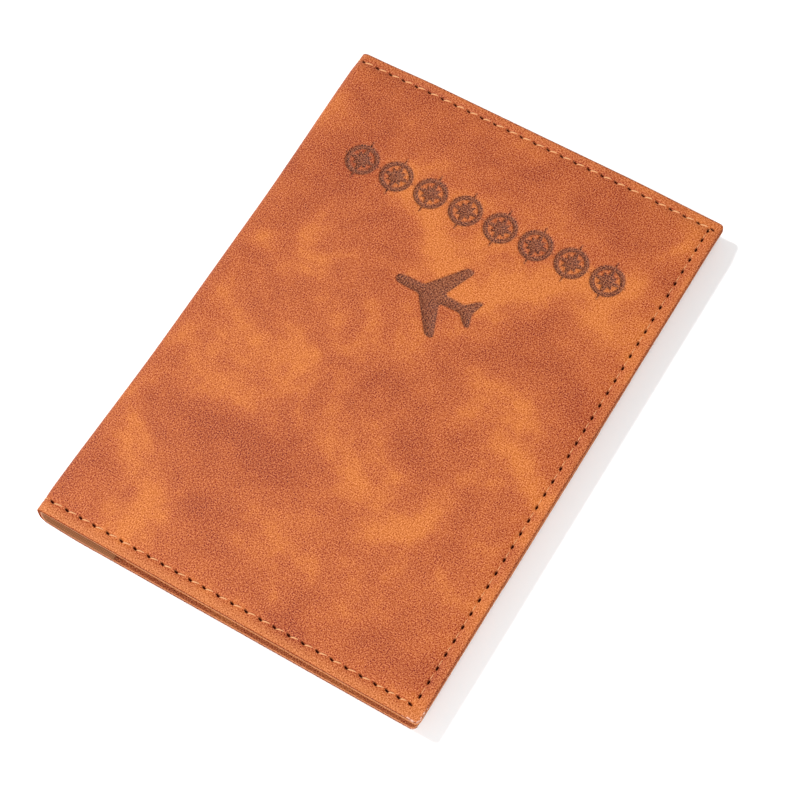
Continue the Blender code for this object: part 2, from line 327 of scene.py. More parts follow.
@dataclass
class SheetMesh:
    """A closed sheet wrapped round the cover's section, built from two faces and a rounded rim."""

    name: str
    section: Section
    outline: Outline
    outer_depth: DepthRule
    inner_depth: DepthRule
    outer_rim: float
    inner_rim: float
    outer_points: Array
    inner_points: Array
    outer_loops: Sequence[Array] = ()
    rim_steps: int = 4
    plan: list[Array] = field(default_factory=list)
    depth: list[Array] = field(default_factory=list)
    pattern: list[Array] = field(default_factory=list)
    edge: list[Array] = field(default_factory=list)
    count: int = 0

    def add_points(self, plan: Array, depth: Array, fold_out: Array, edge: float) -> Array:
        """Adds points to the mesh.

        Args:
            plan: Their plan positions.
            depth: Their depths.
            fold_out: How far the pattern is carried outwards from the plan, as along a cut edge.
            edge: 1 on the cut edge and 0 on the faces.

        Returns:
            Their indices.
        """
        self.plan.append(plan)
        self.depth.append(depth)
        self.pattern.append(self.section.strip(plan[:, 0] + fold_out[:, 0], plan[:, 1] + fold_out[:, 1]))
        self.edge.append(np.full(len(plan), edge))
        indices = np.arange(self.count, self.count + len(plan))
        self.count += len(plan)
        return indices

    def build(self) -> bpy.types.Object:
        """Makes the object, with its plan as a UV map and its cut edge as an attribute."""
        outer_plan, outer_faces, outer_rim = triangulate(
            self.outline.inset(self.outer_rim), self.outer_points, self.outer_loops
        )
        inner_plan, inner_faces, inner_rim = triangulate(
            self.outline.inset(self.inner_rim), self.inner_points, ()
        )
        still = np.zeros_like(outer_plan)
        outer = self.add_points(outer_plan, self.outer_depth(*outer_plan.T), still, 0.0)
        rings = [outer[outer_rim]]
        turns = np.linspace(0.0, math.pi / 2, self.rim_steps + 1)[1:]
        rim_plan = self.outline.inset(self.outer_rim)
        top = self.outer_depth(*rim_plan.T)
        for turn in turns:
            plan = self.outline.inset(self.outer_rim * (1.0 - math.sin(turn)))
            drop = self.outer_rim * (1.0 - math.cos(turn))
            away = -self.outline.inward * drop
            rings.append(self.add_points(plan, top + drop, away, turn / math.pi * 2))
        rim_plan = self.outline.inset(self.inner_rim)
        bottom = self.inner_depth(*rim_plan.T)
        for turn in turns[::-1]:
            plan = self.outline.inset(self.inner_rim * (1.0 - math.sin(turn)))
            drop = self.inner_rim * (1.0 - math.cos(turn))
            away = -self.outline.inward * (bottom - drop - top)[:, None]
            rings.append(self.add_points(plan, bottom - drop, away, turn / math.pi * 2))
        still = np.zeros_like(inner_plan)
        inner = self.add_points(inner_plan, self.inner_depth(*inner_plan.T), still, 0.0)
        rings.append(inner[inner_rim])
        faces = [outer[outer_faces], inner[inner_faces]]
        for one, two in zip(rings, rings[1:]):
            after_one, after_two = np.roll(one, -1), np.roll(two, -1)
            faces.append(np.stack([one, after_one, after_two], axis=-1))
            faces.append(np.stack([one, after_two, two], axis=-1))
        return self.finish_object(np.concatenate(faces))

    def finish_object(self, faces: Array) -> bpy.types.Object:
        """Turns the gathered points and the faces into an object.

        Args:
            faces: The vertices of each face.

        Returns:
            The object.
        """
        plan = np.concatenate(self.plan)
        depth = np.concatenate(self.depth)
        places = self.section.place(plan[:, 0], plan[:, 1], depth)
        made = new_object(self.name, places, faces)
        pattern = np.concatenate(self.pattern)
        set_uv(made.data, SHEET_UV, pattern)
        set_attribute(made.data, "cut_edge", np.concatenate(self.edge))
        return made

    def all_plan(self) -> tuple[Array, Array]:
        """The plan positions and cut-edge values of the built mesh's vertices, in their order."""
        return np.concatenate(self.plan), np.concatenate(self.edge)


def new_object(name: str, places: Array, faces: Array) -> bpy.types.Object:
    """A mesh object at the origin with smooth faces that point outwards.

    Args:
        name: The object's name.
        places: The vertices.
        faces: The vertices of each face.

    Returns:
        The object, linked to the scene.
    """
    mesh = bpy.data.meshes.new(name)
    mesh.from_pydata(places.tolist(), [], faces.tolist())
    form = bmesh.new()
    form.from_mesh(mesh)
    bmesh.ops.recalc_face_normals(form, faces=form.faces)
    form.to_mesh(mesh)
    form.free()
    mesh.shade_smooth()
    mesh.set_sharp_from_angle(angle=SHARP_ANGLE)
    made = bpy.data.objects.new(name, mesh)
    bpy.context.collection.objects.link(made)
    return made


def set_uv(mesh: bpy.types.Mesh, name: str, at_vertices: Array) -> None:
    """Stores a UV map that has one value to a vertex.

    Args:
        mesh: The mesh.
        name: The map's name.
        at_vertices: The value at each vertex.
    """
    layer = mesh.uv_layers.new(name=name)
    corners = np.empty(len(mesh.loops), dtype=np.int64)
    mesh.loops.foreach_get("vertex_index", corners)
    layer.uv.foreach_set("vector", at_vertices[corners].astype(np.float32).ravel())


def set_attribute(mesh: bpy.types.Mesh, name: str, values: Array) -> None:
    """Stores one number for each vertex under a name that materials can read."""
    layer = mesh.attributes.new(name, "FLOAT", "POINT")
    layer.data.foreach_set("value", values.astype(np.float32))


@dataclass(frozen=True)
class Slot:
    """A needle slot in the leather: where it is on the plan, and the way that it points."""

    u: float
    y: float
    heading: float

    def ends(self, half_length: float) -> tuple[Array, Array]:
        """Its two ends.

        Args:
            half_length: Half the slot's length.

        Returns:
            Both ends, on the plan.
        """
        way = np.array([math.cos(self.heading), math.sin(self.heading)]) * half_length
        middle = np.array([self.u, self.y])
        return middle - way, middle + way


@dataclass(frozen=True)
class SeamRun:
    """One straight run of the seam: its slots in order and how its stitches lie between them."""

    slots: tuple[Slot, ...]
    girth: float
    sunk: float
    bow: float  # how far a stitch curves sideways


@dataclass(frozen=True)
class Seam:
    """The lockstitched seam of one panel, from the fold along the tail, up the free edge and back."""

    section: Section
    inset: float
    first_tail: float  # plan place of the tail run's first slot beside the spine's middle
    first_head: float  # the same of the head run
    lean: float = math.radians(22.0)  # of the slots against the tail and head runs
    free_lean: float = math.radians(4.0)
    pitch: float = 3.7 * MM
    free_pitch: float = 3.64 * MM
    slot_half_length: float = 0.64 * MM
    slot_half_width: float = 0.3 * MM
    corner_gap: float = 0.95 * MM
    slowed: int = 3  # stitches that are shortened before the corner
    drift: float = 0.3 * MM  # how far the whole seam is shifted towards the head

    @property
    def tail(self) -> float:
        """Y of the run along the tail edge."""
        return self.section.tail_y + self.inset + self.drift

    @property
    def head(self) -> float:
        """Y of the run along the head edge."""
        return self.section.head_y - self.inset + self.drift

    @property
    def free(self) -> float:
        """Plan place of the run along the free edge."""
        return self.section.reach - self.inset

    def inside(self, u: Array, y: Array) -> Array:
        """Signed distance to the seam, positive on the panel's side and negative outside it."""
        return np.minimum(np.minimum(y - self.tail, self.head - y), self.free - u)

    def row(self, start: float, end: float, pitch: float) -> Array:
        """Places along a run, about one pitch apart, with one at each end."""
        return np.linspace(start, end, int(round(abs(end - start) / pitch)) + 1)

    def slowed_row(self, start: float, end: float, pitch: float) -> Array:
        """Places one full pitch apart, but for the last few, which are shortened to reach the end.

        Args:
            start: The first place.
            end: The last place.
            pitch: The full pitch.

        Returns:
            The places.
        """
        full = math.ceil((end - start) / pitch) - self.slowed
        turn = start + full * pitch
        return np.concatenate([start + pitch * np.arange(full), np.linspace(turn, end, self.slowed + 1)])

    def runs(self) -> list[SeamRun]:
        """The three runs of the seam: along the tail, up the free edge, and along the head."""
        lean = -self.lean * self.section.side.up
        tail_row = self.slowed_row(self.first_tail, self.free - self.corner_gap, self.pitch)
        tail = [Slot(u, self.tail, lean) for u in tail_row]
        free_row = self.slowed_row(self.tail + 2.6 * MM, self.head - 0.75 * MM, self.free_pitch)
        free = [Slot(self.free, y, math.pi / 2 + self.free_lean) for y in free_row]
        head_row = self.row(self.first_head, self.free + 0.75 * MM, self.pitch)
        head = [Slot(u, self.head, lean) for u in head_row]
        return [
            SeamRun(tuple(tail), 1.0, 0.0, 0.12 * MM),
            SeamRun(tuple(free), 0.5, 0.13 * MM, 0.0),
            SeamRun(tuple(head), 1.1, 0.0, 0.12 * MM),
        ]

    def slots(self) -> list[Slot]:
        """Every slot of the seam."""
        return [slot for run in self.runs() for slot in run.slots]

    def slot_ring(self, slot: Slot, scale: float, count: int) -> Array:
        """An oval round a slot, on the plan.

        Args:
            slot: The slot.
            scale: The oval's size against the slot's.
            count: The number of points.

        Returns:
            The points.
        """
        turns = np.linspace(0.0, 2.0 * math.pi, count, endpoint=False)
        along = np.cos(turns) * self.slot_half_length * scale
        across = np.sin(turns) * self.slot_half_width * scale
        c, s = math.cos(slot.heading), math.sin(slot.heading)
        return np.stack([slot.u + along * c - across * s, slot.y + along * s + across * c], axis=-1)

    def slot_measure(self, u: Array, y: Array) -> tuple[Array, Array]:
        """How near each place is to its nearest slot.

        Args:
            u: Plan lengths.
            y: Places between tail and head.

        Returns:
            The place's size against the slot's oval, which is 1 on its rim, and its distance.
        """
        slots = np.array([(slot.u, slot.y, slot.heading) for slot in self.slots()])
        du = u[:, None] - slots[None, :, 0]
        dy = y[:, None] - slots[None, :, 1]
        c, s = np.cos(slots[:, 2]), np.sin(slots[:, 2])
        along = (du * c + dy * s) / self.slot_half_length
        across = (dy * c - du * s) / self.slot_half_width
        return np.hypot(along, across).min(axis=1), np.hypot(du, dy).min(axis=1)


@dataclass
class Motif:
    """The pressed ornament: a row of eight compass roses over a small aeroplane.

    Places are measured from the spine and from the tail edge.
    """

    section: Section
    roses: int = 8
    band_start: float = 11.0 * MM
    band_end: float = 88.0 * MM
    band_middle: float = 114.8 * MM
    tall_point: float = 5.6 * MM
    wide_point: float = 4.6 * MM
    short_point: float = 2.5 * MM
    waist: float = 1.6 * MM
    ring_radius: float = 3.6 * MM
    ring_half_width: float = 0.58 * MM
    plane_nose: float = 39.6 * MM
    plane_middle: float = 91.5 * MM
    step: float = 0.34 * MM
    shapes: list[Array] = field(default_factory=list)
    centres: list[Array] = field(default_factory=list)

    # One half of the aeroplane in millimetres, back from its nose and out from its middle
    PLANE_HALF = (
        (0.0, 0.0), (0.12, 0.5), (0.5, 0.92), (1.3, 1.18), (2.4, 1.27), (6.3, 1.32), (7.0, 1.6),
        (13.0, 9.35), (13.5, 9.85), (14.2, 10.1), (15.0, 10.1), (15.45, 9.75), (15.4, 9.1), (12.5, 1.9),
        (12.9, 1.3), (17.3, 1.15), (18.1, 1.4), (19.9, 3.2), (20.6, 3.65), (21.3, 3.65), (21.5, 3.25),
        (20.75, 0.9), (20.6, 0.0),
    )

    def __post_init__(self) -> None:
        """Draws the ornament on the section's panel."""
        pitch = (self.band_end - self.band_start) / self.roses
        for i in range(self.roses):
            middle = self.band_start + pitch * (i + 0.5)
            self.shapes.append(self.on_plan(self.star(middle)))
            self.centres.append(self.on_plan([(middle, self.band_middle)])[0])
        self.shapes.append(self.on_plan(self.plane()))

    def star(self, middle: float) -> list[tuple[float, float]]:
        """A compass star: four long points and four short ones.

        Args:
            middle: The place of its middle along the row.

        Returns:
            Its corners, in order.
        """
        points = []
        for i in range(16):
            turn = math.pi / 8 * i
            if i % 2:
                reach = self.waist
            elif i % 4:
                reach = self.short_point
            else:
                reach = self.tall_point if i % 8 else self.wide_point
            points.append((middle + reach * math.cos(turn), self.band_middle + reach * math.sin(turn)))
        return points

    def plane(self) -> list[tuple[float, float]]:
        """The aeroplane, with its nose towards the spine."""
        left = [(a * MM, b * MM) for a, b in self.PLANE_HALF]
        right = [(a, -b) for a, b in left[-2:0:-1]]
        return [(self.plane_nose + a, self.plane_middle + b) for a, b in left + right]

    def on_plan(self, shape: list[tuple[float, float]]) -> Array:
        """A shape moved on to the plan, with points spaced closely along its edges.

        Args:
            shape: The shape's corners, in order.

        Returns:
            The points.
        """
        corners = np.array([
            (self.section.run_to(self.section.spine_x + x), self.section.tail_y + y) for x, y in shape
        ])
        points = []
        for one, two in zip(corners, np.roll(corners, -1, axis=0)):
            steps = max(1, int(round(np.linalg.norm(two - one) / self.step)))
            points.extend(one + (two - one) * i / steps for i in range(steps))
        return np.array(points)

    def circle(self, centre: Array, radius: float) -> Array:
        """Points round a circle on the plan.

        Args:
            centre: The circle's middle.
            radius: The circle's radius.

        Returns:
            The points.
        """
        count = int(round(2 * math.pi * radius / self.step))
        turns = np.linspace(0.0, 2 * math.pi, count, endpoint=False)
        return centre + radius * np.stack([np.cos(turns), np.sin(turns)], axis=-1)

    def distance(self, u: Array, y: Array) -> Array:
        """Signed distance to the nearest pressed edge.

        Args:
            u: Plan lengths from the spine's middle.
            y: Places between tail and head.

        Returns:
            The distances, negative inside the ornament.
        """
        best = np.full(len(u), 1.0)
        for shape in self.shapes:
            low, high = shape.min(axis=0) - 1.5 * MM, shape.max(axis=0) + 1.5 * MM
            near = np.flatnonzero((u > low[0]) & (u < high[0]) & (y > low[1]) & (y < high[1]))
            if len(near):
                best[near] = np.minimum(best[near], outline_distance(shape, u[near], y[near]))
        for centre in self.centres:
            from_ring = np.abs(np.hypot(u - centre[0], y - centre[1]) - self.ring_radius)
            best = np.minimum(best, from_ring - self.ring_half_width)
        return best

    def edges(self) -> list[Array]:
        """Every pressed edge, as closed loops on the plan."""
        sides = (-self.ring_half_width, self.ring_half_width)
        return self.shapes + [self.circle(c, self.ring_radius + s) for c in self.centres for s in sides]

    def offset_points(self, distance: float) -> Array:
        """Points at about a signed distance from the edges, without those that a tip crosses.

        Args:
            distance: The signed distance, negative inside the ornament.

        Returns:
            The points.
        """
        moved = []
        for shape in self.shapes:
            ways = np.roll(shape, -1, axis=0) - np.roll(shape, 1, axis=0)
            normals = np.stack([ways[:, 1], -ways[:, 0]], axis=-1)
            normals /= np.linalg.norm(normals, axis=1)[:, None]
            moved.append(shape + normals * distance * np.sign(signed_area(shape)))
        reach = self.ring_half_width + distance
        for centre in self.centres:
            moved.extend(self.circle(centre, self.ring_radius + side * reach) for side in (-1, 1))
        points = np.concatenate(moved)
        return points[np.abs(self.distance(*points.T) - distance) < 0.03 * MM]


def signed_area(shape: Array) -> float:
    """Area inside a closed shape, negative where it runs clockwise."""
    after = np.roll(shape, -1, axis=0)
    return float((shape[:, 0] * after[:, 1] - after[:, 0] * shape[:, 1]).sum() / 2)


def outline_distance(shape: Array, u: Array, y: Array) -> Array:
    """Signed distance from places to a closed shape.

    Args:
        shape: The shape's corners, in order.
        u: The places' distances across the plan.
        y: Their places along the spine.

    Returns:
        The distances, negative inside the shape.
    """
    one = shape[None, :, :]
    two = np.roll(shape, -1, axis=0)[None, :, :]
    spot = np.stack([u, y], axis=-1)[:, None, :]
    run = two - one
    share = np.clip(((spot - one) * run).sum(axis=2) / (run * run).sum(axis=2), 0.0, 1.0)
    gap = np.linalg.norm(spot - one - run * share[..., None], axis=2).min(axis=1)
    above = (one[..., 1] > spot[..., 1]) != (two[..., 1] > spot[..., 1])
    rise = np.where(run[..., 1] == 0, 1.0, run[..., 1])
    cross = one[..., 0] + (spot[..., 1] - one[..., 1]) * run[..., 0] / rise
    inside = (above & (spot[..., 0] < cross)).sum(axis=1) % 2 == 1
    return np.where(inside, -gap, gap)


def linear(colour: str) -> tuple[float, float, float, float]:
    """An sRGB hex colour as the linear colour that a shader takes.

    Args:
        colour: The colour, as # and six hex digits.

    Returns:
        Red, green, blue and a full alpha.
    """
    channels = [int(colour[i : i + 2], 16) / 255 for i in (1, 3, 5)]
    low = [c / 12.92 if c <= 0.04045 else ((c + 0.055) / 1.055) ** 2.4 for c in channels]
    return (low[0], low[1], low[2], 1.0)


def add_node(
    tree: bpy.types.NodeTree,
    kind: str,
    values: Optional[dict[Any, Any]] = None,
    links: Optional[dict[Any, Socket]] = None,
    **settings: Any,
) -> bpy.types.Node:
    """Adds one node to a tree.

    Args:
        tree: The tree that it joins.
        kind: The node's type.
        values: Input values, by the inputs' names or numbers.
        links: Output sockets to link, by the inputs' names or numbers.
        **settings: The node's own properties.

    Returns:
        The node.
    """
    node = tree.nodes.new(kind)
    for name, value in settings.items():
        setattr(node, name, value)
    for key, value in (values or {}).items():
        node.inputs[key].default_value = value
    for key, socket in (links or {}).items():
        tree.links.new(socket, node.inputs[key])
    return node


def new_finish(name: str) -> tuple[bpy.types.Material, bpy.types.NodeTree, bpy.types.Node]:
    """A material with only a Principled BSDF in it.

    Args:
        name: The material's name.

    Returns:
        The material, its tree and that shader.
    """
    material = bpy.data.materials.new(name)
    material.use_nodes = True
    tree = material.node_tree
    return material, tree, tree.nodes["Principled BSDF"]


def set_stops(ramp: bpy.types.Node, stops: Sequence[tuple[float, str]]) -> None:
    """Gives a Color Ramp its stops.

    Args:
        ramp: The ramp's node.
        stops: Places from 0 to 1 with their hex colours.
    """
    elements = ramp.color_ramp.elements
    while len(elements) < len(stops):
        elements.new(1.0)
    for element, (place, colour) in zip(elements, stops):
        element.position = place
        element.color = linear(colour)


def tinted(tree: bpy.types.NodeTree, share: Socket, colour: Socket, hue: str) -> Socket:
    """Mixes a colour towards a hue by a share.

    Args:
        tree: The material's tree.
        share: The hue's share at each place.
        colour: The colour to start from.
        hue: The hex colour to go to.

    Returns:
        The socket of the mixed colour.
    """
    node = add_node(tree, "ShaderNodeMix", data_type="RGBA")
    colours = [s for s in node.inputs if s.type == "RGBA"]
    colours[1].default_value = linear(hue)
    tree.links.new(share, node.inputs["Factor"])
    tree.links.new(colour, colours[0])
    return next(s for s in node.outputs if s.type == "RGBA")


@dataclass(frozen=True)
class NubuckLeather:
    """Two-tone nubuck-look PU leather, coated on a cloth backing and buffed by hand.

    The buffing leaves soft clouds of orange among redder brown, and the nap gives a fine matt speckle.
    Pressed places are darker, with a line of painted shade on the walls round them. Painted shade also
    darkens the rims of the head and free edges, which face away from the light, and fills the needle holes.
    The nap is paler outside the seam, and paler still along the tail edge as a painted highlight where it
    faces the light.
    It has come off in chips at the corner that takes the knocks.
    """

    name: str
    dark: str
    middle: str
    light: str
    # paler nap outside the seam; along the tail edge its mask adds a painted highlight where the border faces
    # the light
    border: str
    pressed: str
    # painted shade: the hue of the dark lines along the rims, on the ornament's walls and in the pockets'
    # creases and mouths
    painted_shade: str
    # the cut edges' hue: on the cover, dark edge paint that also stands in as painted shade under the front
    # panel's edge; on the pockets, painted light
    cut: str
    chip: str = "#d9ad9b"
    # painted shade: the dark inside the needle holes
    slot: str = "#350a06"
    nap: tuple[float, float, float] = (0.85, 0.4, 0.22)  # how much lighter its tips are than its roots
    cloud_mm: float = 24.0
    mottle_mm: float = 7.0
    nap_mm: float = 0.3  # drawn coarser than the nap, which is too fine to show
    chip_mm: float = 0.8
    roughness: float = 0.62

    def material(self) -> bpy.types.Material:
        """Builds the finish."""
        made, tree, shader = new_finish(self.name)
        plan = add_node(tree, "ShaderNodeUVMap", uv_map=SHEET_UV).outputs["UV"]
        clouds, mottle, nap, spots = (
            add_node(
                tree, "ShaderNodeTexNoise",
                {"Scale": 1 / size, "Detail": detail, "Roughness": rough, "Distortion": swirl},
                {"Vector": plan}, noise_dimensions="2D",
            ).outputs["Fac"]
            for size, detail, rough, swirl in (
                (self.cloud_mm, 2.0, 0.5, 0.5), (self.mottle_mm, 5.0, 0.68, 0.0),
                (self.nap_mm, 1.0, 0.6, 0.0), (self.chip_mm, 2.0, 0.5, 0.0),
            )
        )
        tone = add_node(
            tree, "ShaderNodeMix", {"Factor": 0.36}, {"A": clouds, "B": mottle}, data_type="FLOAT"
        ).outputs["Result"]
        ramp = add_node(tree, "ShaderNodeValToRGB", {}, {"Fac": tone})
        set_stops(ramp, ((0.34, self.dark), (0.5, self.middle), (0.63, self.light)))
        masks = {
            name: add_node(tree, "ShaderNodeAttribute", attribute_name=name).outputs["Fac"]
            for name in ("border", "rim", "pressed", "painted_shade", "cut_edge", "worn", "slot")
        }
        masks["worn"] = self.chips(tree, spots, masks["worn"])
        colour = ramp.outputs["Color"]
        # The rim mask and the dark-line mask are painted shade: along the head and free rims, on the
        # ornament's walls and in the pockets' creases and mouths. The border mask is paler nap outside the
        # seam, with a painted highlight along the tail. The cut-edge hue is painted shade on the cover and
        # painted light on the pockets. The worn mask is real chipped wear.
        for mask, hue, most in (
            ("border", self.border, 0.75), ("rim", self.painted_shade, 0.45), ("pressed", self.pressed, 0.86),
            ("painted_shade", self.painted_shade, 0.55), ("cut_edge", self.cut, 0.9), ("worn", self.chip, 0.85),
        ):
            colour = self.mix(tree, masks[mask], colour, hue, most)
        # The needle slots take a near-black maroon as painted shade inside the holes.
        colour = self.mix(tree, masks["slot"], self.napped(tree, nap, colour), self.slot, 1.0)
        bump = add_node(
            tree, "ShaderNodeBump", {"Strength": 0.55, "Distance": 0.05 * MM}, {"Height": nap}
        ).outputs["Normal"]
        rough = add_node(
            tree, "ShaderNodeMapRange",
            {
                "From Min": 0.3, "From Max": 0.7, "To Min": self.roughness - 0.05,
                "To Max": self.roughness + 0.08,
            },
            {"Value": nap},
        ).outputs["Result"]
        bare = add_node(
            tree, "ShaderNodeMath", {}, {0: masks["slot"], 1: masks["cut_edge"]}, operation="MAXIMUM"
        ).outputs["Value"]
        for name, most in (("Sheen Weight", 0.06), ("Specular IOR Level", 0.25)):
            share = add_node(
                tree, "ShaderNodeMapRange", {"To Min": most, "To Max": 0.0}, {"Value": bare}
            ).outputs["Result"]
            tree.links.new(share, shader.inputs[name])
        shader.inputs["Sheen Roughness"].default_value = 0.5
        shader.inputs["IOR"].default_value = 1.45
        tree.links.new(colour, shader.inputs["Base Color"])
        tree.links.new(rough, shader.inputs["Roughness"])
        tree.links.new(bump, shader.inputs["Normal"])
        return made

    def chips(self, tree: bpy.types.NodeTree, spots: Socket, wear: Socket) -> Socket:
        """Breaks a smooth measure of wear up into separate chips.

        Args:
            tree: The material's tree.
            spots: The noise that the chips follow.
            wear: The smooth measure.

        Returns:
            The socket of the chips' mask.
        """
        total = add_node(
            tree, "ShaderNodeMath", {}, {0: spots, 1: wear}, operation="ADD"
        ).outputs["Value"]
        return add_node(
            tree, "ShaderNodeMapRange", {"From Min": 1.3, "From Max": 1.5}, {"Value": total}
        ).outputs["Result"]

    def napped(self, tree: bpy.types.NodeTree, nap: Socket, colour: Socket) -> Socket:
        """Lightens and darkens a colour with the nap.

        Args:
            tree: The material's tree.
            nap: The nap's noise.
            colour: The colour under it.

        Returns:
            The socket of the new colour.
        """
        centred = add_node(
            tree, "ShaderNodeMath", {1: 0.5}, {0: nap}, operation="SUBTRACT"
        ).outputs["Value"]
        lit = add_node(
            tree, "ShaderNodeVectorMath", {1: self.nap}, {0: centred, 2: colour}, operation="MULTIPLY_ADD"
        ).outputs["Vector"]
        return add_node(
            tree, "ShaderNodeVectorMath", {1: (0.0, 0.0, 0.0)}, {0: lit}, operation="MAXIMUM"
        ).outputs["Vector"]

    def mix(self, tree: bpy.types.NodeTree, mask: Socket, colour: Socket, hue: str, most: float) -> Socket:
        """Mixes a colour towards a hue.

        Args:
            tree: The material's tree.
            mask: Where it is mixed.
            colour: The colour to start from.
            hue: The hex colour to go to.
            most: The hue's share where the mask is full.

        Returns:
            The socket of the mixed colour.
        """
        share = add_node(
            tree, "ShaderNodeMath", {1: most}, {0: mask}, operation="MULTIPLY", use_clamp=True
        ).outputs["Value"]
        return tinted(tree, share, colour, hue)


@dataclass(frozen=True)
class WovenLining:
    """Plain-woven polyester lining: fine warp and weft threads with a faint sheen."""

    name: str
    dark: str
    light: str
    painted_light_edge: str  # its cut edges, made paler as painted light in the shaded gap between the covers' edges
    thread_mm: float = 0.45  # drawn coarser than the real 0.2 mm, which is too fine to show

    def material(self) -> bpy.types.Material:
        """Builds the finish."""
        made, tree, shader = new_finish(self.name)
        plan = add_node(tree, "ShaderNodeUVMap", uv_map=SHEET_UV).outputs["UV"]
        bands = []
        for direction in ("X", "Y"):
            wave = add_node(
                tree, "ShaderNodeTexWave",
                {"Scale": math.pi / (10 * self.thread_mm), "Distortion": 0.6, "Detail": 1.0},
                {"Vector": plan}, wave_type="BANDS", bands_direction=direction,
            )
            bands.append(wave.outputs["Fac"])
        weave = add_node(
            tree, "ShaderNodeMath", {}, {0: bands[0], 1: bands[1]}, operation="MULTIPLY"
        ).outputs["Value"]
        ramp = add_node(tree, "ShaderNodeValToRGB", {}, {"Fac": weave})
        set_stops(ramp, ((0.0, self.dark), (0.8, self.light)))
        bump = add_node(
            tree, "ShaderNodeBump", {"Strength": 0.6, "Distance": 0.08 * MM}, {"Height": weave}
        ).outputs["Normal"]
        cut = add_node(tree, "ShaderNodeAttribute", attribute_name="cut_edge").outputs["Fac"]
        colour = tinted(tree, cut, ramp.outputs["Color"], self.painted_light_edge)
        shader.inputs["Roughness"].default_value = 0.72
        shader.inputs["Sheen Weight"].default_value = 0.1
        tree.links.new(colour, shader.inputs["Base Color"])
        tree.links.new(bump, shader.inputs["Normal"])
        return made


@dataclass(frozen=True)
class SewingThread:
    """Three-ply polyester sewing thread, twisted and lightly waxed, so it glints a little."""

    name: str
    colour: str
    shade: str
    fibre_mm: float = 0.12

    def material(self) -> bpy.types.Material:
        """Builds the finish."""
        made, tree, shader = new_finish(self.name)
        place = add_node(tree, "ShaderNodeTexCoord").outputs["Object"]
        fibre = add_node(
            tree, "ShaderNodeTexNoise", {"Scale": 1 / (self.fibre_mm * MM), "Detail": 2.0},
            {"Vector": place},
        ).outputs["Fac"]
        ramp = add_node(tree, "ShaderNodeValToRGB", {}, {"Fac": fibre})
        set_stops(ramp, ((0.3, self.shade), (0.6, self.colour)))
        bump = add_node(
            tree, "ShaderNodeBump", {"Strength": 0.4, "Distance": 0.03 * MM}, {"Height": fibre}
        ).outputs["Normal"]
        shader.inputs["Roughness"].default_value = 0.5
        shader.inputs["Sheen Weight"].default_value = 0.1
        tree.links.new(ramp.outputs["Color"], shader.inputs["Base Color"])
        tree.links.new(bump, shader.inputs["Normal"])
        return made


@dataclass(frozen=True)
class GreyBoard:
    """Pulped paperboard: matt grey-brown, with short fibres and darker specks pressed flat."""

    name: str
    colour: str
    speck: str
    fibre_mm: float = 0.5

    def material(self) -> bpy.types.Material:
        """Builds the finish."""
        made, tree, shader = new_finish(self.name)
        place = add_node(tree, "ShaderNodeTexCoord").outputs["Object"]
        fibre = add_node(
            tree, "ShaderNodeTexNoise", {"Scale": 1 / (self.fibre_mm * MM), "Detail": 4.0, "Roughness": 0.7},
            {"Vector": place},
        ).outputs["Fac"]
        ramp = add_node(tree, "ShaderNodeValToRGB", {}, {"Fac": fibre})
        set_stops(ramp, ((0.35, self.speck), (0.5, self.colour)))
        bump = add_node(
            tree, "ShaderNodeBump", {"Strength": 0.3, "Distance": 0.04 * MM}, {"Height": fibre}
        ).outputs["Normal"]
        shader.inputs["Roughness"].default_value = 0.9
        tree.links.new(ramp.outputs["Color"], shader.inputs["Base Color"])
        tree.links.new(bump, shader.inputs["Normal"])
        return made


@dataclass(frozen=True)
class Palette:
    """Every finish of the holder."""

    # The cover's cut edges are dark edge paint, also standing in as painted shade under the front panel's
    # edge.
    cover: NubuckLeather = NubuckLeather(
        "nubuck_pu_leather_cover", dark="#92441c", middle="#a15225", light="#b3642c", border="#b26838",
        pressed="#673520", painted_shade="#542612", cut="#803c1f",
    )
    # The pockets' cut edges are pale as painted light in the shaded gap between the covers' edges.
    pocket: NubuckLeather = NubuckLeather(
        "nubuck_pu_leather_pockets", dark="#904724", middle="#9b512c", light="#a55e32", border="#9b512c",
        pressed="#673520", painted_shade="#542612", cut="#bc784a",
    )
    lining: WovenLining = WovenLining("woven_polyester_lining", "#8e5733", "#bc7b4b", "#bc784a")
    thread: SewingThread = SewingThread("twisted_polyester_thread", "#d49a66", "#c07845")
    board: GreyBoard = GreyBoard("pulped_grey_paperboard", "#b3a890", "#857a66")


@dataclass
class ThreadPath:
    """A set of separate stitches as open chains of points."""

    points: list[Array] = field(default_factory=list)
    girths: list[Array] = field(default_factory=list)
    edges: list[tuple[int, int]] = field(default_factory=list)
    count: int = 0

    def add(self, places: Array, girth: Array) -> None:
        """Adds one stitch along some places.

        Args:
            places: The stitch's places, in order.
            girth: The thread's thickness along it, against its full diameter.
        """
        self.points.append(places)
        self.girths.append(girth * np.ones(len(places)))
        self.edges.extend((self.count + i, self.count + i + 1) for i in range(len(places) - 1))
        self.count += len(places)


